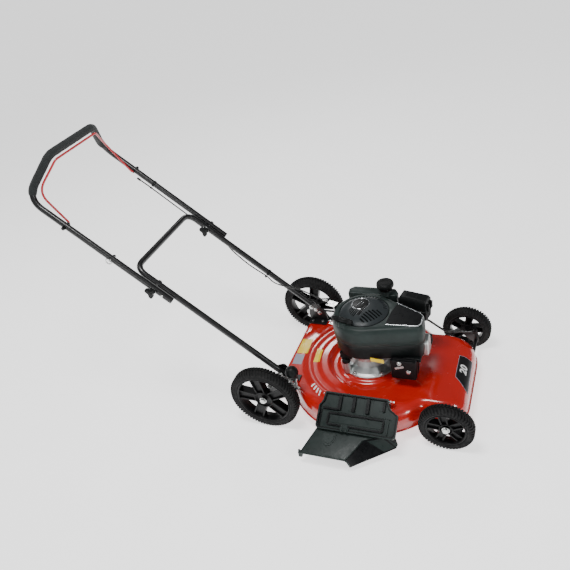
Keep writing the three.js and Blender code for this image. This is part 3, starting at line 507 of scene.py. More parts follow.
def deck_surface(x, y):
    """The height of the deck's outside at a point, for what is stuck to it."""
    offset = Vector((x, y)) - SPINDLE.xy
    angle, radius = math.atan2(offset.y, offset.x), offset.length
    reach = deck_reach(angle)
    width, drop = deck_shoulder(angle)
    edge = reach - width
    if radius <= edge:
        return deck_height(radius, angle)
    part = min((radius - edge) / width, 0.999)
    return deck_height(edge, angle) - drop * (1 - math.sqrt(1 - part * part))


def deck_shell():
    rings = []
    sheet = DECK["sheet"]
    for angle in circle(220):
        reach = deck_reach(angle)
        outer = deck_profile(angle, reach)
        inner = [(r - sheet * math.sin(lean), z - sheet * math.cos(lean)) for r, z, lean in outer[:-2]]
        inner += [(reach - sheet, DECK["bottom"]), (reach + 5, DECK["bottom"])]
        loop = [(r, z) for r, z, _ in outer] + inner[::-1]
        rings.append([SPINDLE + polar(r, angle, z) for r, z in loop])
    shell = Form().loft(rings, closed=True)
    cutters = Form().box(-103, 112, -340, -212, 40, 145)
    piece("deck_shell", shell, "chassis", RED, ["deck"], sharp=50, cutters=[cutters])
    ears = Form()
    for x in (-112, 120):
        outline = rectangle(-232, -216, 111, 143, 5)
        ears.loft([[Vector((x + d, p[0], p[1])) for p in outline] for d in (0, 6)])
    for y in (-134, 130):
        ears.box(-323.5, -292, y, y + 4, 64, 85)
    edge = [Vector(p) for p in ((-103, -290), (-103, -212), (112, -212), (112, -286))]
    seam = [Vector((p.x, p.y, deck_surface(p.x, p.y) - 1.2)) for p in divided(edge, 14)]
    ears.tube(seam, 1.9, 10)
    piece("deck_ears", ears, "chassis", RED, bevel=0.6)


def divided(points, pieces):
    """A polyline with each of its sides cut into equal pieces."""
    out = []
    for a, b in zip(points, points[1:]):
        out += [a.lerp(b, k / pieces) for k in range(pieces)]
    return out + [points[-1]]


def sticker(name, corners, finish, lift=0.5, cells=14):
    """A label laid on the deck between four corners."""
    a, b, c, d = (Vector(p) for p in corners)
    verts, faces = [], []
    for i in range(cells + 1):
        for j in range(cells + 1):
            p = a.lerp(b, i / cells).lerp(d.lerp(c, i / cells), j / cells)
            verts.append(Vector((p.x, p.y, deck_surface(p.x, p.y) + lift)))
    for i in range(cells):
        for j in range(cells):
            k = i * (cells + 1) + j
            faces.append([k, k + 1, k + cells + 2, k + cells + 1])
    piece(name, Form().add(verts, faces), "chassis", finish)


def lettering(text, size, shear=0.0):
    """A flat mesh of the text, as points and faces, in its own plane."""
    curve = bpy.data.curves.new("lettering", "FONT")
    curve.body, curve.size, curve.shear = text, size, shear
    curve.align_x, curve.align_y = "CENTER", "CENTER"
    curve.offset = size * 0.03
    holder = bpy.data.objects.new("lettering", curve)
    bpy.context.scene.collection.objects.link(holder)
    mesh = bpy.data.meshes.new_from_object(holder.evaluated_get(bpy.context.evaluated_depsgraph_get()))
    fine = bmesh.new()
    fine.from_mesh(mesh)
    bmesh.ops.triangulate(fine, faces=fine.faces)
    bmesh.ops.subdivide_edges(fine, edges=fine.edges, cuts=2, use_grid_fill=True)
    points = [v.co.copy() for v in fine.verts]
    faces = [[v.index for v in f.verts] for f in fine.faces]
    fine.free()
    bpy.data.objects.remove(holder)
    return points, faces


def deck_labels():
    badge = [(299, 64), (344, 57), (347, -100), (299, -47)]
    inner = [(300.5, 62), (342.5, 55.5), (345.5, -96.5), (300.5, -46)]
    sticker("badge_edge", badge, GREY_LABEL, 0.4, 24)
    sticker("badge", inner, BLACK_LABEL, 0.8, 24)
    points, faces = lettering("20", 43, 0.25)
    verts = []
    for p in points:
        x, y = 322 - p.y * 0.72, -7 + p.x * 0.95
        verts.append(Vector((x, y, deck_surface(x, y) + 1.3)))
    piece("badge_number", Form().add(verts, faces), "chassis", WHITE_LABEL)
    sticker("label_warning", [(-291, 50), (-252, 54), (-246, -28), (-288, -32)], YELLOW)
    sticker("label_plate", [(-289, -36), (-254, -38), (-250, -90), (-285, -92)], GREY_LABEL)
    sticker("label_small", [(-214, 2), (-190, -4), (-183, -70), (-207, -74)], YELLOW)
    for k in range(4):
        a, b = Vector((-178 + 13 * k, -190 - 12 * k)), Vector((-166 + 10 * k, -180 - 9 * k))
        step = Vector((5, -5))
        sticker(f"label_stripe_{k}", [a, b, b + step, a + step], WHITE_LABEL, 0.5, 4)


# ---------------------------------------------------------------- wheels
def lug(radius, row, half, angle, skew, width):
    """One slanted tread block that runs from near the middle over the tyre's shoulder."""
    route = ((1.2, 0, 0, 0), (half - 7.5, 0, 0, 0.8), (half - 2.6, -3, 45, 1), (half - 0.4, -7.5, 90, 1),
             (half - 0.4, -12, 90, 1))
    rings = []
    for across, drop, lean, part in route:
        ring = []
        for side, depth in ((-1, 4), (1, 4), (1, 0), (-1, 0)):
            turn = angle + skew * part + side * width / radius / 2
            r = radius + drop - depth * math.cos(math.radians(lean))
            y = row * (across - depth * math.sin(math.radians(lean)))
            ring.append(Vector((r * math.sin(turn), y, r * math.cos(turn))))
        rings.append(ring)
    return rings


def tyre(name, x, y, radius, bead, width):
    half = width / 2
    steps = enumerate((4, 5, 7, 8, 9.5, 10.3, 11.6, 12.4))
    ridge = [(bead + d, half - 1.6 + 1.4 * (k % 4 in (1, 2))) for k, d in steps]
    side = [(bead, half - 4), (bead + 2, half - 2), *ridge, (radius - 11, half - 1.8), (radius - 7, half - 4),
            (radius - 5, half - 8), (radius - 4.4, half - 12)]
    half_profile = rounded(side, 0.8, 3)
    profile = [(p.x, p.y) for p in half_profile] + [(p.x, -p.y) for p in half_profile[::-1]]
    body = Form().turned(profile, (0, 0, 0), (0, 1, 0), 128)
    lugs = Form()
    count = round(2 * math.pi * radius / LUG_SPACING)
    pitch = 2 * math.pi / count
    for k in range(count):
        for row in (-1, 1):
            lugs.loft(lug(radius, row, half, pitch * (k + 0.25 * row), 0.62 * pitch, LUG_WIDTH))
    for form in (body, lugs):
        form.verts = [v + Vector((x, y, radius)) for v in form.verts]
    piece(f"{name}_tyre_body", body, f"{name}_wheel", TYRE, [f"{name}_tyre"])
    piece(f"{name}_tyre_tread", lugs, f"{name}_wheel", TYRE, bevel=0.5, segments=2)


def spoke_form(bead, half, start):
    """Five broad spokes, each a recessed web between two ribs."""
    form = Form()
    inner, outer = HUB_SHARE * bead - 3, bead - 6
    for angle in circle(SPOKES):
        turn = Matrix.Rotation(angle - start, 4, "Y")
        wide, narrow = 0.15 * bead, 0.175 * bead
        web = [(inner, -wide), (outer, -narrow), (outer, narrow), (inner, wide)]
        form.loft([[turn @ Vector((p[0], y, p[1])) for p in web] for y in (half - 19, half - 15)])
        for s in (-1, 1):
            near, far = s * wide, s * narrow
            rib = [(inner, near - 2.6), (outer, far - 2.6), (outer, far + 2.6), (inner, near + 2.6)]
            form.loft([[turn @ Vector((p[0], y, p[1])) for p in rib] for y in (6 - half, half - 8.5)])
    return form


def wheel(name, x, y, radius, bead, width):
    half, side = width / 2, math.copysign(1, y)
    end, hand = name.split("_")
    rim = rounded([(bead - 0.7, 4 - half), (bead - 0.7, half - 3), (bead - 4, half - 2), (bead - 7, half - 5),
                   (bead - 8, 0), (bead - 7, 5 - half), (bead - 4, 3 - half)], 1.5, 4)
    hub = spoke_form(bead, half, SPOKE_START[hand])
    hub.turned(rim, (0, 0, 0), (0, 1, 0), 96)
    cup = HUB_SHARE * bead
    boss = [(6.4, 6 - half), (cup, 6 - half), (cup, half - 8), (cup - 1, half - 6.5), (cup - 3, half - 6.5),
            (cup - 4, half - 8), (cup - 4.5, half - 13), (cup - 6, half - 14), (11, half - 14),
            (10.5, half - 6.2), (6.4, half - 6.2)]
    hub.turned(boss, (0, 0, 0), (0, 1, 0), 64)
    nut = Form()
    face = half - 5.8
    hexagon = [polar(10.2, angle) for angle in circle(6)]
    nut.loft([[Vector((p.x, h, p.y)) for p in hexagon] for h in (face + 1.6, face + 8)])
    nut.turned([(6.2, face), (12.5, face), (12.5, face + 1.7), (6.2, face + 1.7)], (0, 0, 0), (0, 1, 0), 40)
    for k in range(4):
        nut.turned([(0, face + 2 + 1.6 * k), (5.9, face + 2.4 + 1.6 * k), (5.9, face + 3.2 + 1.6 * k),
                    (0, face + 3.6 + 1.6 * k)], (0, 0, 0), (0, 1, 0), 28)
    for form in (hub, nut):
        form.verts = [Vector((v.x, v.y * side, v.z)) + Vector((x, y, radius)) for v in form.verts]
    piece(f"{name}_hub", hub, f"{name}_wheel", WHEEL_PLASTIC, [f"{name}_wheel_hub"], bevel=0.8)
    piece(f"{name}_nut", nut, f"{end}_axle", ZINC, [f"{name}_wheel_nut"], bevel=0.5)


# ---------------------------------------------------------------- handle
def leg(length, y, normal=0):
    c, s = math.cos(LEG_TILT), math.sin(LEG_TILT)
    return Vector((LEG_FOOT.x - length * c + normal * s, y, LEG_FOOT.z + length * s + normal * c))


def upper_corners():
    bar = [Vector((GRIP_BAR["x"], side * GRIP_BAR["half"], GRIP_BAR["z"])) for side in (-1, 1)]
    return [leg(UPPER_START, -UPPER_Y), leg(UPPER_END, -UPPER_Y), *bar, leg(UPPER_END, UPPER_Y),
            leg(UPPER_START, UPPER_Y)]


def along(points, spacing):
    """Extra points on the long straight runs of a path."""
    out = []
    for a, b in zip(points, points[1:]):
        count = max(1, round((b - a).length / spacing))
        out += [a.lerp(b, k / count) for k in range(count)]
    return out + [points[-1]]


def tube_ends(form, points, radius):
    """Closes each open end with a cap that has a rolled lip."""
    for end, inner in ((points[0], points[1]), (points[-1], points[-2])):
        way = (end - inner).normalized()
        form.turned([(0, -2), (radius - 1.5, -2), (radius - 1.2, 0), (radius - 3, 0.8), (0, 1)], end, way, 28)


def handles():
    lower = [leg(-12, -LOWER_Y), leg(CROSSBAR, -LOWER_Y), leg(CROSSBAR, LOWER_Y), leg(-12, LOWER_Y)]
    lower = rounded(lower, 44, 14)
    form = Form().tube(along(lower, 30), TUBE, 28)
    piece("lower_tube", form, "chassis", BLACK_ENAMEL, ["lower_handle"], sharp=60)
    upper = rounded(upper_corners(), [70, 45, 45, 70], 14)
    form = Form().tube(along(upper, 30), TUBE, 28)
    tube_ends(form, upper, TUBE)
    piece("upper_tube", form, "upper_handle", BLACK_ENAMEL, ["upper_handle"], sharp=60)
    grip(upper)
    bail()


def grip(upper):
    """Foam sleeve over the top bar and both slanting sides, slightly uneven, with rounded ends."""
    run = along(upper[9:-9], 6)
    radii = [FOAM_RADIUS + 0.2 * math.sin(i * 0.9) for i in range(len(run))]
    for i, less in enumerate((2.2, 0.7, 0.15)):
        radii[i] = radii[-1 - i] = FOAM_RADIUS - less
    sleeve = piece("grip_sleeve", Form().tube(run, radii, 36), "upper_handle", FOAM, ["foam_grip"], sharp=70)


def bail():
    foot = leg(BAIL, 0)
    right = [foot + Vector(p) for p in ((0, -240, 0), (0, -200, 0), (-80, -200, 116), (-34, -116, 197))]
    left = [Vector((p.x, -p.y, p.z)) for p in right[::-1]]
    path = along(rounded(right + left, [8, 60, 26, 26, 60, 8], 12), 14)
    piece("bail_rod", Form().tube(path, ROD_RADIUS["bail"], 16), "bail", RED_ROD, ["bail"], sharp=60)
    caps, bushes = Form(), Form()
    for sign in (-1, 1):
        spot = {y: foot + Vector((0, sign * y, 0)) for y in (205, UPPER_Y - 10, UPPER_Y + 10, 235, 236, 241)}
        caps.rod(spot[236], spot[241], 6, 20)
        bushes.rod(spot[UPPER_Y + 10], spot[235], 7, 24)
        bushes.rod(spot[UPPER_Y - 10], spot[205], 7, 24)
    piece("bail_caps", caps, "bail", PLASTIC)
    piece("bail_bushes", bushes, "upper_handle", PLASTIC)


def knob_outline(size):
    """Three rounded wings."""
    def swell(turn):
        return 0.72 + 0.28 * math.cos(3 * turn) + 0.03 * math.cos(6 * turn)
    return [polar(size * swell(angle - 0.4), angle) for angle in circle(90)]


def wing_knob(name, tube_side):
    centre = leg(FOLD, 0)
    start, end, away = tube_side - 1, tube_side - 22, -1
    form = Form()
    outline = knob_outline(21.5)
    levels = [(start + away * 5, 0.8), (start + away * 7, 0.97), (start + away * 10, 1), (end - away * 3, 1),
              (end - away, 0.95), (end, 0.82)]
    form.loft([[Vector((centre.x + p.x * s, y, centre.z + p.y * s)) for p in outline] for y, s in levels])
    form.rod(leg(FOLD, start), leg(FOLD, end - away * 2), 10, 32)
    form.rod(leg(FOLD, end - away * 3), leg(FOLD, end + away * 1.5), 8.5, 32, 1.2)
    piece(f"{name}_knob", form, f"{name}_wing_knob", PLASTIC, [f"{name}_wing_knob"], bevel=0.7)
    washer = Form().rod(leg(FOLD, start - away * 0.2), leg(FOLD, start + away * 1.8), 13.5, 40)
    piece(f"{name}_knob_washer", washer, f"{name}_wing_knob", ZINC)


def cable_points():
    upper = [leg(878, 206, -15), leg(813, 207, -15), leg(700, 206, -16), leg(620, 206.4, -17)]
    lower = [leg(FOLD, 206.1, -16), leg(455, 204, -18), leg(400, 196, -24), leg(320, 188, -24),
             leg(240, 186, -17), leg(205, 178, -14), Vector((-380, 132, 318)), Vector((-280, 80, 343)),
             Vector((-190, 34, 347)), Vector((-151, 20.5, 347))]
    return upper, lower


def spline(points, pieces):
    """Catmull-Rom points through a path."""
    pts = [points[0] * 2 - points[1], *points, points[-1] * 2 - points[-2]]
    out = []
    for a, b, c, d in zip(pts, pts[1:], pts[2:], pts[3:]):
        for k in range(pieces):
            t = k / pieces
            out.append(0.5 * (2 * b + (c - a) * t + (2 * a - 5 * b + 4 * c - d) * t * t
                              + (3 * b - a - 3 * c + d) * t ** 3))
    return out + [points[-1]]


def brake_cable():
    upper, lower = cable_points()
    form = Form().tube(spline(upper + lower, 12), ROD_RADIUS["cable"], 14)
    cable = piece("brake_cable", form, None, CABLE, ["brake_cable_upper", "brake_cable_lower"], sharp=60)
    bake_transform(cable)
    ferrule = [(0, -3), (4, 0), (4, 16), (3.2, 20), (0, 20)]
    piece("cable_ferrule", Form().turned(ferrule, lower[-1], lower[-2] - lower[-1], 24), "chassis", ZINC)
    nipple = [(0, -3), (4, 0), (4, 14), (0, 18)]
    piece("cable_nipple", Form().turned(nipple, upper[0], upper[1] - upper[0], 24), "upper_handle", PLASTIC)
    band = [(TUBE + 0.1, -5), (TUBE + 1.8, -4.4), (TUBE + 1.8, 4.4), (TUBE + 0.1, 5)]
    for name, body, length, tube_y in (("upper", "upper_handle", 813, UPPER_Y),
                                       ("lower", "chassis", 240, LOWER_Y)):
        middle = leg(length, tube_y)
        way = leg(length + 1, tube_y) - middle
        clip = Form().turned(band, middle, way, 40)
        clip.rod(leg(length - 4, tube_y - 13.5, -14.5), leg(length + 4, tube_y - 13.5, -14.5), 4, 20)
        piece(f"cable_clip_{name}", clip, body, PLASTIC)


def rope_guide():
    centre = leg(ROPE_EYE, -UPPER_Y - 26, 4)
    eye = []
    for k in range(31):
        turn = math.pi * (0.25 + 1.6 * k / 30)
        eye.append(centre + Vector((11 * math.cos(turn), 0.2 * k, 11 * math.sin(turn))))
    root = leg(ROPE_EYE, -UPPER_Y - TUBE - 2.5)
    path = eye + [eye[-1].lerp(root, 0.5), root]
    piece("rope_eye", Form().tube(path, 2, 12), "upper_handle", ZINC, ["rope_guide"], sharp=60)
    nut = Form()
    outer, inner = -UPPER_Y - TUBE, -UPPER_Y + TUBE
    for start, end, radius, sides in ((outer - 0.3, outer - 4, 6.5, 6), (inner + 0.3, inner + 6, 6.8, 6),
                                      (inner + 5, inner + 10, 3, 16)):
        nut.rod(leg(ROPE_EYE, start), leg(ROPE_EYE, end), radius, sides)
    piece("rope_eye_nut", nut, "upper_handle", ZINC, bevel=0.4)


def fold_bolts():
    for name, head, tip in (("left", 232.5, 166), ("right", -180, -246)):
        form = Form().rod(leg(FOLD, tip), leg(FOLD, head), 4, 20)
        dome = [(0, 0), (8.6, 0), (8.6, 0.4), (7, 2.2), (4, 3.4), (0, 3.8)]
        form.turned(dome, leg(FOLD, head), (0, math.copysign(1, head - tip), 0), 32)
        piece(f"{name}_bolt", form, "chassis", ZINC, [f"{name}_fold_bolt"])
    for side in (-1, 1):
        spot = leg(STOP_BOLT, side * (UPPER_Y + TUBE - 0.5))
        form = Form().turned([(0, 0), (6.5, 0), (5.5, 2), (3, 3.6), (0, 4)], spot, (0, side, 0), 28)
        piece(f"stop_bolt_{'left' if side > 0 else 'right'}", form, "upper_handle", ZINC)


# ---------------------------------------------------------------- discharge side
COVER_PLACE = Matrix.Translation(HINGE) @ Matrix.Rotation(COVER_SLOPE, 4, "X")


def cover_outline(inset):
    start, end = -4 + inset, 124 - inset
    front = [(115, start), (117, 16), (126, 30), (152, 46), (152, end - 8), (144, end)]
    rear = [(-112, end), (-120, end - 8), (-120, 46), (-109, 28), (-107, 16)]
    corners = [(-105 + inset, start), *((x - inset, u) for x, u in front), *((x + inset, u) for x, u in rear)]
    return rounded_loop([(x, -u) for x, u in corners], 7, 5)


def on_cover(loops):
    """Rings for a loft from (outline, height) pairs above the cover's slope."""
    return [[COVER_PLACE @ Vector((p.x, p.y, z)) for p in loop] for loop, z in loops]


def frame_rings(x0, x1, u0, u1, wall, low, high, radius=9):
    """A raised rounded outline on the cover."""
    outer = rectangle(x0, x1, -u0, -u1, radius)
    inner = rectangle(x0 + wall, x1 - wall, -u0 - wall, -u1 + wall, max(radius - wall, 1))
    return on_cover([(outer, low), (outer, high), (inner, high), (inner, low)])


def discharge_cover():
    outer, inner = cover_outline(0), cover_outline(5)
    form = Form().loft(on_cover([(outer, 8), (outer, 17), (inner, 17), (inner, 10.5)]))
    # The ribs, the raised frame and the band inside the rim are near-black as painted shade, darker than the
    # panel that carries them
    ribs = Form()
    for x in (-53, -5, 43):
        ribs.box(x, x + 11, -54, -5, COVER_FACE, 20, COVER_PLACE)
    ribs.box(-104, -50, -56, -49, COVER_FACE, 18, COVER_PLACE)
    ribs.box(-111, -106, -112, -58, COVER_FACE, 15, COVER_PLACE)
    ribs.box(98, 106, -40, -8, COVER_FACE, 18, COVER_PLACE)
    ribs.loft(frame_rings(-84, 110, 64, 108, 6, COVER_FACE, 16), closed=True)
    # A near-black band over the inside of the rim: painted shade on the rim's inner wall
    outer, inner = cover_outline(3.5), cover_outline(7)
    ribs.loft(on_cover([(outer, COVER_FACE), (outer, 17.6), (inner, 17.6), (inner, COVER_FACE)]), closed=True)
    piece("cover_ribs_painted_shade", ribs, "discharge_cover", BLACK_AND_PAINTED_SHADE, bevel=1.6)
    form.box(120, 124, -112, -62, 10, 15, COVER_PLACE)
    form.box(-106, 132, -61, -58.5, 10, 12.5, COVER_PLACE)
    for x in (-96, 96):
        form.rod(COVER_PLACE @ Vector((x, 0, 0)), COVER_PLACE @ Vector((x + 16, 0, 0)), 5.5)
        form.box(x, x + 16, -5, 4, 0, 9, COVER_PLACE)
    piece("cover_panel", form, "discharge_cover", CHUTE_PLASTIC, ["discharge_cover"], bevel=1.4)
    inset = Form().prism(rectangle(-76, 104, -72, -97, 6, 5), COVER_FACE, 12.2, COVER_PLACE)
    piece("cover_inset", inset, "discharge_cover", CHUTE_PLASTIC, bevel=0.8)


def cover_latch():
    form = Form()
    outline = [(-34, -109), (-4, -109), (-4, -125), (-14, -125), (-16, -120), (-22, -120), (-24, -125),
               (-34, -125)]
    form.prism(outline, 11, 19, COVER_PLACE)
    form.box(-31, -7, -113, -103, 13.6, 20.5, COVER_PLACE)
    for x in (-30, -13):
        form.box(x, x + 5.5, -125, -108, 14, 24, COVER_PLACE)
    piece("latch_tab", form, "cover_latch", CHUTE_PLASTIC, ["cover_latch"], bevel=0.9)


def cover_spring():
    """A torsion spring on the hinge rod that holds the cover shut."""
    points = []
    steps, coils, radius = 12, 9, 5.2
    for k in range(steps * coils + 1):
        offset = polar(radius, 2 * math.pi * k / steps)
        points.append(HINGE + Vector((-30 + 3.1 * k / steps, offset.y, offset.x)))
    path = [points[0] + Vector((0, 20, -12))] + points + [COVER_PLACE @ Vector((2, -34, 7))]
    piece("cover_spring", Form().tube(path, ROD_RADIUS["spring"], 8), "chassis", ZINC, sharp=60)


# (y, left wall, crease, foot of the sloped side, top, foot height) of the chute, from the deck outwards
CHUTE_SECTIONS = ((-297, -92, 128, 138, 84, 28), (-308, -106, 138, 150, 80, 28),
                  (-322, -119, 106, 148, 77, 27), (-348, -128, 46, 116, 71, 25),
                  (-400, -147, 18, 46, 57, 19), (-420, -154, 6, 20, 51, 16))


def chute_section(y, left, crease, foot, top, low, inset):
    corners = [(left + inset, 28), (left + inset, top - inset), (crease - inset, top - inset),
               (foot - 1.6 * inset, low + 3), (foot - 1.6 * inset, low)]
    ring = rounded([Vector((x, 0, z)) for x, z in corners], [10 - inset, 7, 2], 6)
    return [Vector((p.x, y, p.z)) for p in ring]


def discharge_chute():
    rings = [chute_section(*section, 0) + chute_section(*section, 3)[::-1] for section in CHUTE_SECTIONS]
    form = Form().loft(rings)
    lip = [(-156, -411, 50), (-154, -420, 48), (4, -420, 48), (13, -418, 36), (19, -416, 20)]
    form.tube(rounded(lip, 5, 4), 3.6, 14)
    form.box(-157, -145, -423, -412, 28, 50)
    # A near-black skin laid just over the chute's sloped side: painted shade on the face that turns away from
    # the light
    skin = []
    for y, _, crease, foot, top, low in CHUTE_SECTIONS[1:]:
        away = Vector((top - low, 0, foot - crease)).normalized()
        edge = [Vector((crease + 3, y, top - 1.5)), Vector((foot, y, low + 2))]
        skin.append([edge[0] - away, edge[1] - away, edge[1] + away * 1.8, edge[0] + away * 1.8])
    piece("chute_side_painted_shade", Form().loft(skin), "discharge_chute", BLACK_AND_PAINTED_SHADE)
    for x in (-64, 66):
        form.box(x, x + 10, -93, 0, -9, -1, COVER_PLACE)
        form.rod(COVER_PLACE @ Vector((x, 0, 0)), COVER_PLACE @ Vector((x + 10, 0, 0)), 5.5)
    piece("chute_body", form, "discharge_chute", CHUTE_PLASTIC, ["discharge_chute"], bevel=1.2)
    emblem()


def chute_top(y):
    """The height of the chute's flat top at one distance from the deck."""
    for (y0, *_, z0, _), (y1, *_, z1, _) in zip(CHUTE_SECTIONS, CHUTE_SECTIONS[1:]):
        if y1 <= y <= y0:
            return mix(z0, z1, (y - y0) / (y1 - y0))
    return CHUTE_SECTIONS[-1][4]


def emblem():
    """A plain moulded shield, raised on the chute's top."""
    shape = [(-20, 15), (-14, 19), (0, 15), (14, 19), (20, 15), (19, -4), (10, -17), (0, -23), (-10, -17),
             (-19, -4)]
    form = Form()
    for scale, low, high in ((1.15, -1, 2.4), (0.88, 1.6, 4.2)):
        ring = rounded_loop([(x * scale, y * scale) for x, y in shape], 3, 4)
        form.loft([[Vector((p.x - 66, p.y - 362, chute_top(p.y - 362) + lift)) for p in ring]
                   for lift in (low, high)])
    piece("chute_emblem", form, "discharge_chute", CHUTE_PLASTIC, bevel=0.5)


# ---------------------------------------------------------------- engine
def shroud_point(angle, grow, z):
    """A point of the belt round the shroud's three circles, moved outwards by grow."""
    normal = Vector((math.cos(angle), math.sin(angle)))
    x, y, r = max(SHROUD_CIRCLES, key=lambda c: c[0] * normal.x + c[1] * normal.y + c[2])
    return Vector((x + (r + grow) * normal.x, y + (r + grow) * normal.y, z))


def belt(grow, z):
    return [shroud_point(angle, grow, z) for angle in circle(SHROUD_SIDES)]


def disc_ring(radius, z):
    return [SPINDLE + polar(radius, angle, z) for angle in circle(SHROUD_SIDES)]


def shroud():
    levels = [(277, -1.2), (278.5, 0), (300, 0), (318, -0.3), (326, -1.3), (333, -3.6), (338.5, -7),
              (342, -11), (344, -16), (345, -22)]
    outer = [belt(grow, z) for z, grow in levels]
    outer += [disc_ring(90, 345.6), disc_ring(87, 345), disc_ring(86, 341)]
    inner = [disc_ring(84, 341), belt(-22, 341.5), belt(-12, 336), belt(-4, 322), belt(-3.5, 277)]
    form = Form().loft(outer + inner, closed=True)
    piece("shroud_top", form, "chassis", SHROUD_GREY, ["engine_shroud"], sharp=40)
    band = [(218, -8), (219.5, -6), (232, -5), (262, -4.2), (275.2, -4), (276.4, -4.8)]
    band = [belt(grow, z) for z, grow in [*band, (276.4, -8.4), (218, -9)]]
    piece("shroud_band", Form().loft(band, closed=True), "chassis", SHROUD_DARK, sharp=40)
    skirt = Form()
    skirt.box(96, 196, -96, -60, 206, 219)
    skirt.box(-100, -60, -70, -36, 206, 219)
    piece("shroud_skirt", skirt, "chassis", SHROUD_DARK, bevel=3)
    trim_panel()


def trim_panel():
    """The raised five-sided panel on the shroud's front, edged in silver on its open side."""
    corners = [(84, -82), (188, -76), (197, -62), (197, -22), (186, -8), (96, 40)]
    path = rounded([(x, y, 346.6) for x, y in corners], 9, 6)
    piece("panel_trim", Form().tube(along(path, 8), 1.7, 12), "chassis", SILVER, sharp=60)
    inner = rounded_loop([(80, -78), *corners[1:-1], (96, 36), (86, -10)], 7, 5)
    scaled = [Vector((130 + (p.x - 130) * 0.94, -25 + (p.y + 25) * 0.94, 0)) for p in inner]
    piece("panel_plate", Form().prism(scaled, 344.2, 347.2), "chassis", BLACK_AND_PAINTED_SHADE, bevel=0.8)


BOSS = Vector((-21, 1, 0))
ARM_ROOT, ARM_WAY = Vector((-4, -24, 0)), Vector((-0.30, -0.954, 0))
GRIP_SPOT = Vector((-60, -94, 0))
PULL_WAY = Vector((-0.912, -0.186, 0.367))


def dome_height(x, y):
    return 361 - 0.0022 * ((x - SPINDLE.x) ** 2 + (y - SPINDLE.y) ** 2)


def dome_slots():
    """Slots along the arm on its left, slots across it on its right, and short ones round the rim."""
    beside, opposite, rim = Form(), Form(), Form()
    arm = Matrix.Translation(ARM_ROOT) @ Matrix.Rotation(math.atan2(ARM_WAY.y, ARM_WAY.x), 4, "Z")
    for k in range(5):
        off = -11.5 - 7.2 * k
        beside.box(6 + k, 50 - 2.6 * k * math.sqrt(k), off - 2, off + 2, SLOT_LOW, SLOT_HIGH, arm)
    across = Matrix.Translation(SPINDLE) @ Matrix.Rotation(math.radians(-36), 4, "Z")
    for off, start in zip((-45, -33.6, -22.2, -10.8, 0.6, 12, 23.4), (34, 29, 25, 22, 24, 30, 40)):
        end = 0.95 * math.sqrt(74 ** 2 - off ** 2)
        opposite.box(start, end, off - 2.7, off + 2.7, SLOT_LOW, SLOT_HIGH, across)
    for k in range(14):
        slit = Matrix.Translation(SPINDLE) @ Matrix.Rotation(math.radians(133 - 9.2 * k), 4, "Z")
        rim.box(66, 78, -2.2, 2.2, SLOT_LOW, SLOT_HIGH, slit)
    return beside, opposite, rim


def recoil_dome():
    profile = [(0, 361), (18, 360.8), (34, 360), (50, 358.4), (62, 356), (72, 352.6), (79, 348.8),
               (83.5, 345.5), (83.5, 343), (80, 342.6), (76, 345.5), (66, 350), (50, 354), (30, 356.6),
               (0, 357.4)]
    form = Form().turned(profile, SPINDLE, sides=96)
    # The dome takes the charcoal lightened as painted highlight, and the floor below it takes near-black as
    # painted shade
    piece("dome", form, "chassis", DOME_CHARCOAL_AND_PAINTED_HIGHLIGHT, ["recoil_housing"], sharp=40, cutters=dome_slots())
    # A near-black disc under the slots: painted shade seen through them
    floor = Form().turned([(0, 340), (82, 340), (82, 342), (0, 342)], SPINDLE)
    piece("dome_floor_painted_shade", floor, "chassis", BLACK_AND_PAINTED_SHADE)
    medallion()


def medallion():
    """The round boss on the dome and the arm that runs from it to the rope's mouth."""
    boss = [(0, 356), (31.5, 355), (32.5, 358.6), (31, 360.6), (28, 361), (0, 362.4)]
    form = Form().turned(boss, BOSS, sides=72)
    side = Vector((-ARM_WAY.y, ARM_WAY.x, 0))
    sections = ((-18, 4.5), (0, 5.5), (14, 6), (30, 7), (46, 8.5), (60, 10))
    edge = ((-1, -7), (-1, -0.6), (-0.7, 0.6), (0.7, 0.6), (1, -0.6), (1, -7))
    rings = []
    for run, half in sections:
        middle = ARM_ROOT + ARM_WAY * run
        top = dome_height(middle.x, middle.y) + 1.6
        rings.append([middle + side * (across * half) + Vector((0, 0, top + lift)) for across, lift in edge])
    form.loft(rings)
    piece("dome_boss", form, "chassis", BLACK_AND_PAINTED_SHADE, bevel=0.5)
    trim = Form().turned([(28.4, 360.8), (29.2, 362.4), (31, 362.2), (32.2, 360.2)], BOSS, sides=72)
    for sign in (-1, 1):
        edge = []
        for run, half in sections[1:]:
            middle = ARM_ROOT + ARM_WAY * run
            edge.append(middle + side * (sign * half) + Vector((0, 0, dome_height(middle.x, middle.y) + 1.6)))
        trim.tube(edge, 0.7, 8)
    for across, length in ((-3, 13), (7, 8)):
        middle = BOSS + Vector((across, 0, 361.8))
        way = Vector((0.42, 0.9, 0)) * length
        trim.tube([middle - way, middle + way], 1.6, 8)
    piece("dome_trim", trim, "chassis", SILVER, sharp=60)


def rope_mouth():
    """The raised rope outlet beside the dome that the starter grip rests on."""
    outlet = [(0, 336), (17, 336), (17, 345), (14, 350), (8, 351.5), (0, 351.5)]
    form = Form().turned(outlet, GRIP_SPOT, sides=40)
    form.rod(GRIP_SPOT + Vector((-22, 2, 338)), GRIP_SPOT + Vector((26, 4, 344)), 10, 28, 3)
    piece("rope_mouth", form, "chassis", SHROUD_GREY, bevel=1)
    middle = GRIP_SPOT + Vector((0, 0, 360))
    path = [middle - PULL_WAY * (9 - 9 * k / 24) for k in range(25)]
    rope = piece("pull_rope", Form().tube(path, ROD_RADIUS["rope"], 12), None, ROPE, sharp=60)
    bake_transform(rope)


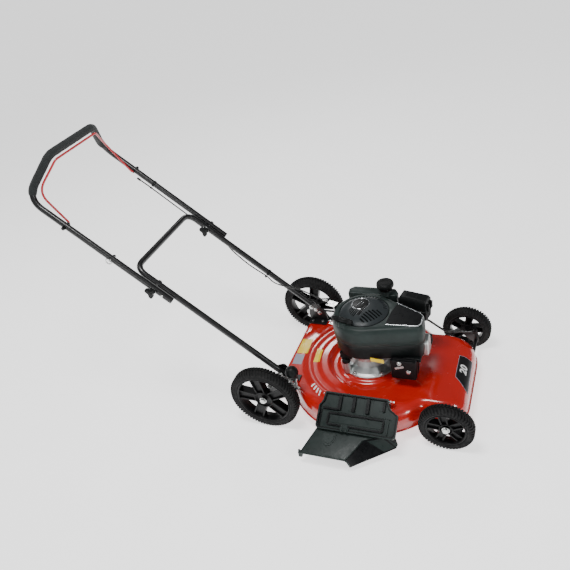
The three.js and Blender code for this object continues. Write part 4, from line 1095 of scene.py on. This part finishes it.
def starter_grip():
    across = Vector((0.97, -0.243, 0)).normalized()
    middle = GRIP_SPOT + Vector((0, 0, 360))
    half = [(7.8, 8), (7.4, 20), (8.2, 30), (7.2, 36), (5, 39), (0, 39.5)]
    profile = [(r, -h) for r, h in half[::-1]] + [(9.6, 0), *half]
    form = Form().turned(rounded(profile, 6, 4), middle, across, 40)
    form.turned([(0, 0), (6, 1), (5, 6), (4, 9.5), (0, 9.6)], middle, -PULL_WAY, 28)
    for k in (-26, -21, -16, 16, 21, 26):
        form.turned([(7, -1), (8.9, -0.5), (8.9, 0.5), (7, 1)], middle + across * k, across, 36)
    piece("pull_grip", form, "starter_grip", PLASTIC, ["starter_grip"], sharp=50)


def knurl(count, depth):
    """The grooves round a cap, as a factor on its radius."""
    return lambda angle: 1 - depth * (0.5 + 0.5 * math.cos(count * angle)) ** 2


def fuel_system():
    loop = rounded_loop([(-98, 98), (80, 98), (84, 120), (70, 142), (-84, 142), (-100, 124)], 8)
    middle = Vector((-9, 120, 0))
    rings = []
    for z, grow in ((246, -10), (249, -4), (258, 0), (326, 0), (330.5, -1.5), (332, -4)):
        wide, deep = 1 + grow / 92, 1 + grow / 26
        rings.append([middle + Vector(((p.x + 9) * wide, (p.y - 120) * deep, z)) for p in loop])
    form = Form().loft(rings)
    form.turned([(0, 326), (23, 327), (19, 333), (15.5, 341.6), (0, 341.6)], CAP_SPOT, sides=48)
    piece("tank", form, "chassis", SHROUD_GREY, ["fuel_tank"], bevel=1.2)
    cap = [(0, 344), (17, 343), (19.5, 343.4), (23, 348), (27, 355), (30.6, 361.5), (31.3, 363.5),
           (31, 371.5), (29.6, 375), (27, 377), (24, 377.4), (22.6, 376), (0, 376)]
    form = Form().turned(cap, CAP_SPOT, sides=240, wave=knurl(30, 0.025))
    piece("tank_cap", form, "fuel_cap", PLASTIC, ["fuel_cap"], sharp=30)
    mark = Form().turned([(13, 375.6), (13.4, 376.9), (15.6, 376.9), (16, 375.6)], CAP_SPOT, sides=48)
    piece("tank_cap_ring", mark, "fuel_cap", PLASTIC)


FILTER_SPOT = Vector((FILTER["x"], FILTER["y"], 0))
FILTER_PLACE = Matrix.Translation(FILTER_SPOT) @ Matrix.Rotation(FILTER["turn"], 4, "Z")


def air_filter():
    def level(half_x, z, radius):
        ring = rectangle(-half_x, half_x, 27 - half_x, half_x - 27, radius)
        return [FILTER_PLACE @ Vector((p.x, p.y, z)) for p in ring]
    sizes = ((52, 297.5), (53, 299), (53, 303), (51.6, 304), (51, 337), (46.5, 347.6), (45.5, 348.4))
    cover = Form().loft([level(half_x, z, 3) for half_x, z in sizes])
    cover.box(-30, 12, -9, 9, 347.8, 349, FILTER_PLACE)
    for y in (-12, 12):
        cover.box(50, 59, y - 5, y + 5, 304.5, 331, FILTER_PLACE)
        cover.box(54, 60, y - 3.5, y + 3.5, 325, 332, FILTER_PLACE)
    for k in range(4):
        cover.box(-26, 8, -7 + 4 * k, -5 + 4 * k, 348.6, 349.8, FILTER_PLACE)
    piece("filter_lid", cover, "air_filter_cover", PLASTIC, ["air_filter_cover"], bevel=0.8)
    base = Form().loft([level(46, 262, 6), level(50, 265, 7), level(51.5, 292, 7), level(53, 294, 7),
                        level(53, 296.8, 7)])
    piece("filter_base", base, "chassis", PLASTIC, ["air_filter_base"], bevel=0.7)


def crankcase():
    profile = [(12, 122.4), (100, 122.4), (101.5, 124), (101.5, 127), (98, 129.5), (90, 134), (74, 150),
               (66, 168), (63, 204), (60, 210), (12, 210)]
    form = Form().turned(rounded(profile, 4, 4), SPINDLE, sides=120)
    bolts = Form()
    for degrees in (20, 80, 146, 199, 250, 310):
        spot = SPINDLE + polar(94, math.radians(degrees))
        form.turned([(0, 123), (9.5, 123), (9.5, 131), (8, 132.5), (0, 132.5)], spot, sides=28)
        bolts.turned([(0, 132.4), (7.2, 132.4), (7.2, 133.6), (0, 133.6)], spot, sides=28)
        bolts.rod(spot + Vector((0, 0, 133.4)), spot + Vector((0, 0, 137.6)), 5.2, 6)
    neck = [(0, 126), (14, 126), (14, 150), (12.5, 153), (12, 171), (7, 171), (7, 168), (0, 168)]
    form.turned(neck, OIL_SPOT, sides=36)
    piece("crankcase_casting", form, "chassis", ALLOY, ["crankcase"], bevel=0.8)
    piece("crankcase_bolts", bolts, "chassis", ZINC, bevel=0.4)
    cap = [(0, 172.4), (14.6, 172.4), (15, 174), (15, 184), (13, 187), (0, 187.6)]
    cap = Form().turned(cap, OIL_SPOT, sides=160, wave=knurl(18, 0.03))
    cap.box(-70, -66, -107, -83, 186, 193)
    cap.rod((-68, -95, 146), (-68, -95, 174), 2.5)
    piece("oil_cap", cap, "oil_filler_cap", PLASTIC, ["oil_filler_cap"], bevel=0.5)
    block = Form()
    block.box(-86, -44, -100, -70, 190, 217)
    block.rod((-72, -84, 178), (-58, -72, 196), 9)
    piece("coil_block", block, "chassis", PLASTIC, bevel=2)


def cylinder():
    form = Form().box(79, 182, -46, 8, 156, 210)
    for k in range(6):
        x = 92 + 15 * k
        form.box(x, x + 4, -56, 17, 150, 214)
    head = rectangle(-50, 0, 192, 262, 13)
    stations = ((179, 1), (206, 1), (211, 0.95), (214, 0.84))
    form.loft([[Vector((x, -25 + (p.x + 25) * part, 227 + (p.y - 227) * part)) for p in head]
               for x, part in stations])
    for y, z in ((-40, 204), (-10, 204), (-40, 250), (-10, 250)):
        form.rod((208, y, z), (214, y, z), 5, 6)
    piece("cylinder_casting", form, "chassis", ALLOY, ["cylinder_block"], bevel=0.8)


def muffler():
    form = Form()
    for y0, y1, high in ((-126, -107, 229), (-108, -66, 216)):
        can = rectangle(100, 184, 150, high, 6, 5)
        *rings, seam = [[Vector((142 + (p.x - 142) * part, y, 185 + (p.y - 185) * part)) for p in can]
                        for y, part in ((y0, 0.96), (y0 + 1.5, 1), (y1, 1), ((y0 + y1) / 2, 1.012))]
        form.loft(rings)
        form.tube([*seam, seam[0]], 1.4, 8)
    slot = rounded_loop([(116, 192), (146, 203), (143, 211), (113, 200)], 3.5, 4)
    form.rod((110, -67, 184), (110, -60.4, 184), 9)
    piece("muffler_can", form, "chassis", MUFFLER_BLACK, ["muffler"], bevel=1.2)
    bolts = Form().loft([[Vector((p.x, y, p.y)) for p in slot] for y in (-125, -128)])
    for x, z in ((130, 219), (159, 185)):
        bolts.rod((x, -126, z), (x, -127.2, z), 8, 32)
        bolts.rod((x, -127, z), (x, -132, z), 5.6, 6)
    piece("muffler_bolts", bolts, "chassis", ZINC, bevel=0.4)


def shroud_labels():
    """Plain stickers on the shroud's side and rear end."""
    def patch(name, start, end, low, high, finish, lift):
        verts, faces = [], []
        cells = 16
        for i in range(cells + 1):
            for z in (low, high):
                verts.append(shroud_point(start + (end - start) * i / cells, lift, z))
        for i in range(cells):
            faces.append([2 * i, 2 * i + 2, 2 * i + 3, 2 * i + 1])
        piece(name, Form().add(verts, faces), "chassis", finish)
    patch("label_shroud_end", math.radians(196), math.radians(222), 236, 268, BLACK_LABEL, -3.0)
    patch("label_shroud_mark", math.radians(202), math.radians(216), 244, 260, WHITE_LABEL, -2.6)
    side = [(34, -130.2, 236), (78, -126.4, 228), (78, -126.4, 212), (34, -130.2, 220)]
    piece("label_shroud_side", Form().add(side, [[0, 1, 2, 3]]), "chassis", YELLOW)


# ---------------------------------------------------------------- height gear and brackets
def handle_brackets():
    for name, side in (("left", 1), ("right", -1)):
        face = side * (LOWER_Y - TUBE - 1)
        outline = [(-300, 125), (-226, 125), (-232, 158), (-268, 206), (-296, 196), (-304, 150)]
        outline = rounded_loop(outline, 9)
        form = Form().loft([[Vector((p.x, y, p.y)) for p in outline] for y in (face, face - side * 4)])
        form.box(-300, -226, *sorted((face - side * 3, face - side * 34)), 125.4, 129)
        piece(f"{name}_bracket", form, "chassis", BLACK_ENAMEL, [f"{name}_handle_bracket"], bevel=0.8)
        bolts = Form()
        for x, z in ((-272, 176), (-290, 186), (-258, 160)):
            start = Vector((x, face - side * 4, z))
            bolts.rod(start, start - Vector((0, side * 1.5, 0)), 9, 32)
            bolts.rod(start, start - Vector((0, side * 6, 0)), 6, 6)
        for x in (-286, -244):
            bolts.rod((x, face - side * 19, 129), (x, face - side * 19, 134), 6, 6)
        piece(f"{name}_bracket_bolts", bolts, "chassis", ZINC, bevel=0.4)
        stub = Form().rod(leg(4, side * (LOWER_Y + TUBE - 1)), leg(4, side * (LOWER_Y + TUBE + 4)), 7, 6)
        piece(f"{name}_leg_bolt", stub, "chassis", ZINC, bevel=0.5)


def height_knob():
    way = Vector((59, 0, 112)).normalized()
    start = Vector((REAR_PIVOT.x, -226.3, REAR_PIVOT.z)) + way * (0.78 * Vector((59, 112)).length + 7.6)
    ball, middle = 23, 31
    turns = [math.radians(-52 + 11.8 * k) for k in range(12)]
    globe = [(ball * math.cos(t), middle + ball * math.sin(t)) for t in turns]
    profile = [(0, 0), (10, 0), (11.5, 5), (13, 10), *globe, (0, middle + ball)]
    form = Form().turned(profile, start, way)
    piece("lever_ball", form, "rear_axle", PLASTIC, ["height_lever_knob"], sharp=50)


def link_rod():
    y = 214.5
    rear, front = Vector((-290, y, 140)), Vector((331, y, 102))
    path = rounded([rear, (-250, y, 143), (160, y, 143), (226, y, 92), front], [60, 40, 40], 12)
    form = Form().tube(along(path, 25), ROD_RADIUS["link"], 20)
    for p in (rear, front):
        form.turned([(4.5, -3), (8.6, -3), (9.2, -2.2), (9.2, 2.2), (8.6, 3), (4.5, 3)], p, (0, 1, 0), 40)
    piece("link_bar", form, "height_link", BLACK_ENAMEL, ["height_link_rod"], sharp=50)


def dress_cad_nodes():
    """Nodes whose shape is already right keep it, with fine edges and their own finish."""
    finishes = {
        "front_axle": BLACK_ENAMEL, "rear_axle": ZINC, "height_lever": ZINC, "height_quadrant": ZINC,
        "cover_hinge_rod": ZINC, "spark_plug": ZINC, "crankshaft": STEEL, "flywheel": ALLOY,
        "blade_adapter": STEEL, "blade": STEEL, "blade_bolt": ZINC, "brake_cable_bracket": ZINC,
        "brake_lever": ZINC, "recoil_pulley": PLASTIC, "spark_plug_cap": PLASTIC, "carburettor": ALLOY,
        "air_filter_element": FOAM, "trailing_shield": PLASTIC,
    }
    for name, finish in finishes.items():
        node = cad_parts[name]
        node.data.materials.clear()
        node.data.materials.append(finish)
        edges = node.modifiers.new("fine_edges", "BEVEL")
        edges.width = CAD_BEVEL * MM
        edges.segments = 2
        edges.limit_method = "ANGLE"
        edges.angle_limit = math.radians(CAD_BEVEL_ANGLE)


# ---------------------------------------------------------------- stage, lights and camera
def stage():
    floor = bpy.data.meshes.new("floor")
    half = FLOOR_HALF
    corners = [(-half, -half, 0), (half, -half, 0), (half, half, 0), (-half, half, 0)]
    floor.from_pydata(corners, [], [[0, 1, 2, 3]])
    ground = bpy.data.objects.new("floor", floor)
    bpy.context.scene.collection.objects.link(ground)
    paper = Shader("studio_paper", 0.9)
    paper.colour([(0.3, (0.84, 0.84, 0.84)), (0.7, (0.88, 0.88, 0.88))], 3)
    paper.surface.inputs["Emission Color"].default_value = (1, 1, 1, 1)
    paper.surface.inputs["Emission Strength"].default_value = FLOOR_GLOW
    floor.materials.append(paper.material)
    world = bpy.data.worlds.new("studio")
    world.use_nodes = True
    world.node_tree.nodes["Background"].inputs["Color"].default_value = (0.97, 0.98, 1.0, 1)
    world.node_tree.nodes["Background"].inputs["Strength"].default_value = SKY_LIGHT
    bpy.context.scene.world = world


def softbox(name, place, aim, size, power):
    lamp = bpy.data.lights.new(name, "AREA")
    lamp.shape = "RECTANGLE"
    lamp.size, lamp.size_y = size
    lamp.energy = power
    holder = bpy.data.objects.new(name, lamp)
    holder.location = place
    holder.rotation_euler = (Vector(aim) - Vector(place)).to_track_quat("-Z", "Y").to_euler()
    bpy.context.scene.collection.objects.link(holder)


def lights():
    middle = (0.2, 0, 0.3)
    for name, place, size, power in (("overhead", (0.0, -0.5, 2.9), (1.0, 0.7), 56),
                                     ("front_window", (2.6, -1.2, 1.9), (0.5, 0.7), 26),
                                     ("left_window", (-0.9, 2.6, 2.3), (0.6, 0.3), 13),
                                     ("rear_fill", (-2.8, -0.6, 2.0), (0.9, 0.7), 22),
                                     ("camera_side", (-0.2, -3.0, 1.5), (1.0, 0.6), 18)):
        softbox(name, place, middle, size, power)


def camera():
    azimuth, rise, roll = (math.radians(CAMERA[k]) for k in ("azimuth", "rise", "roll"))
    back = Vector((math.sin(azimuth) * math.cos(rise), -math.cos(azimuth) * math.cos(rise), math.sin(rise)))
    right = Vector((math.cos(azimuth), math.sin(azimuth), 0))
    up = back.cross(right)
    turned_right = right * math.cos(roll) + up * math.sin(roll)
    turned_up = up * math.cos(roll) - right * math.sin(roll)
    lens = bpy.data.cameras.new("view")
    lens.lens, lens.sensor_width = CAMERA["lens"], CAMERA["sensor"]
    holder = bpy.data.objects.new("view", lens)
    rotation = Matrix((turned_right, turned_up, back)).transposed().to_4x4()
    place = at(Vector(CAMERA["aim"]) + back * CAMERA["distance"])
    holder.matrix_world = Matrix.Translation(place) @ rotation
    bpy.context.scene.collection.objects.link(holder)
    bpy.context.scene.camera = holder


camera()
deck_shell()
deck_labels()
for wheel_name, sizes in WHEELS.items():
    tyre(wheel_name, *sizes)
    wheel(wheel_name, *sizes)
handles()
wing_knob("left", LOWER_Y - TUBE)
wing_knob("right", -UPPER_Y - TUBE)
brake_cable()
rope_guide()
fold_bolts()
discharge_cover()
cover_latch()
cover_spring()
discharge_chute()
shroud()
recoil_dome()
rope_mouth()
starter_grip()
fuel_system()
air_filter()
crankcase()
cylinder()
muffler()
shroud_labels()
handle_brackets()
height_knob()
link_rod()
dress_cad_nodes()
stage()
lights()
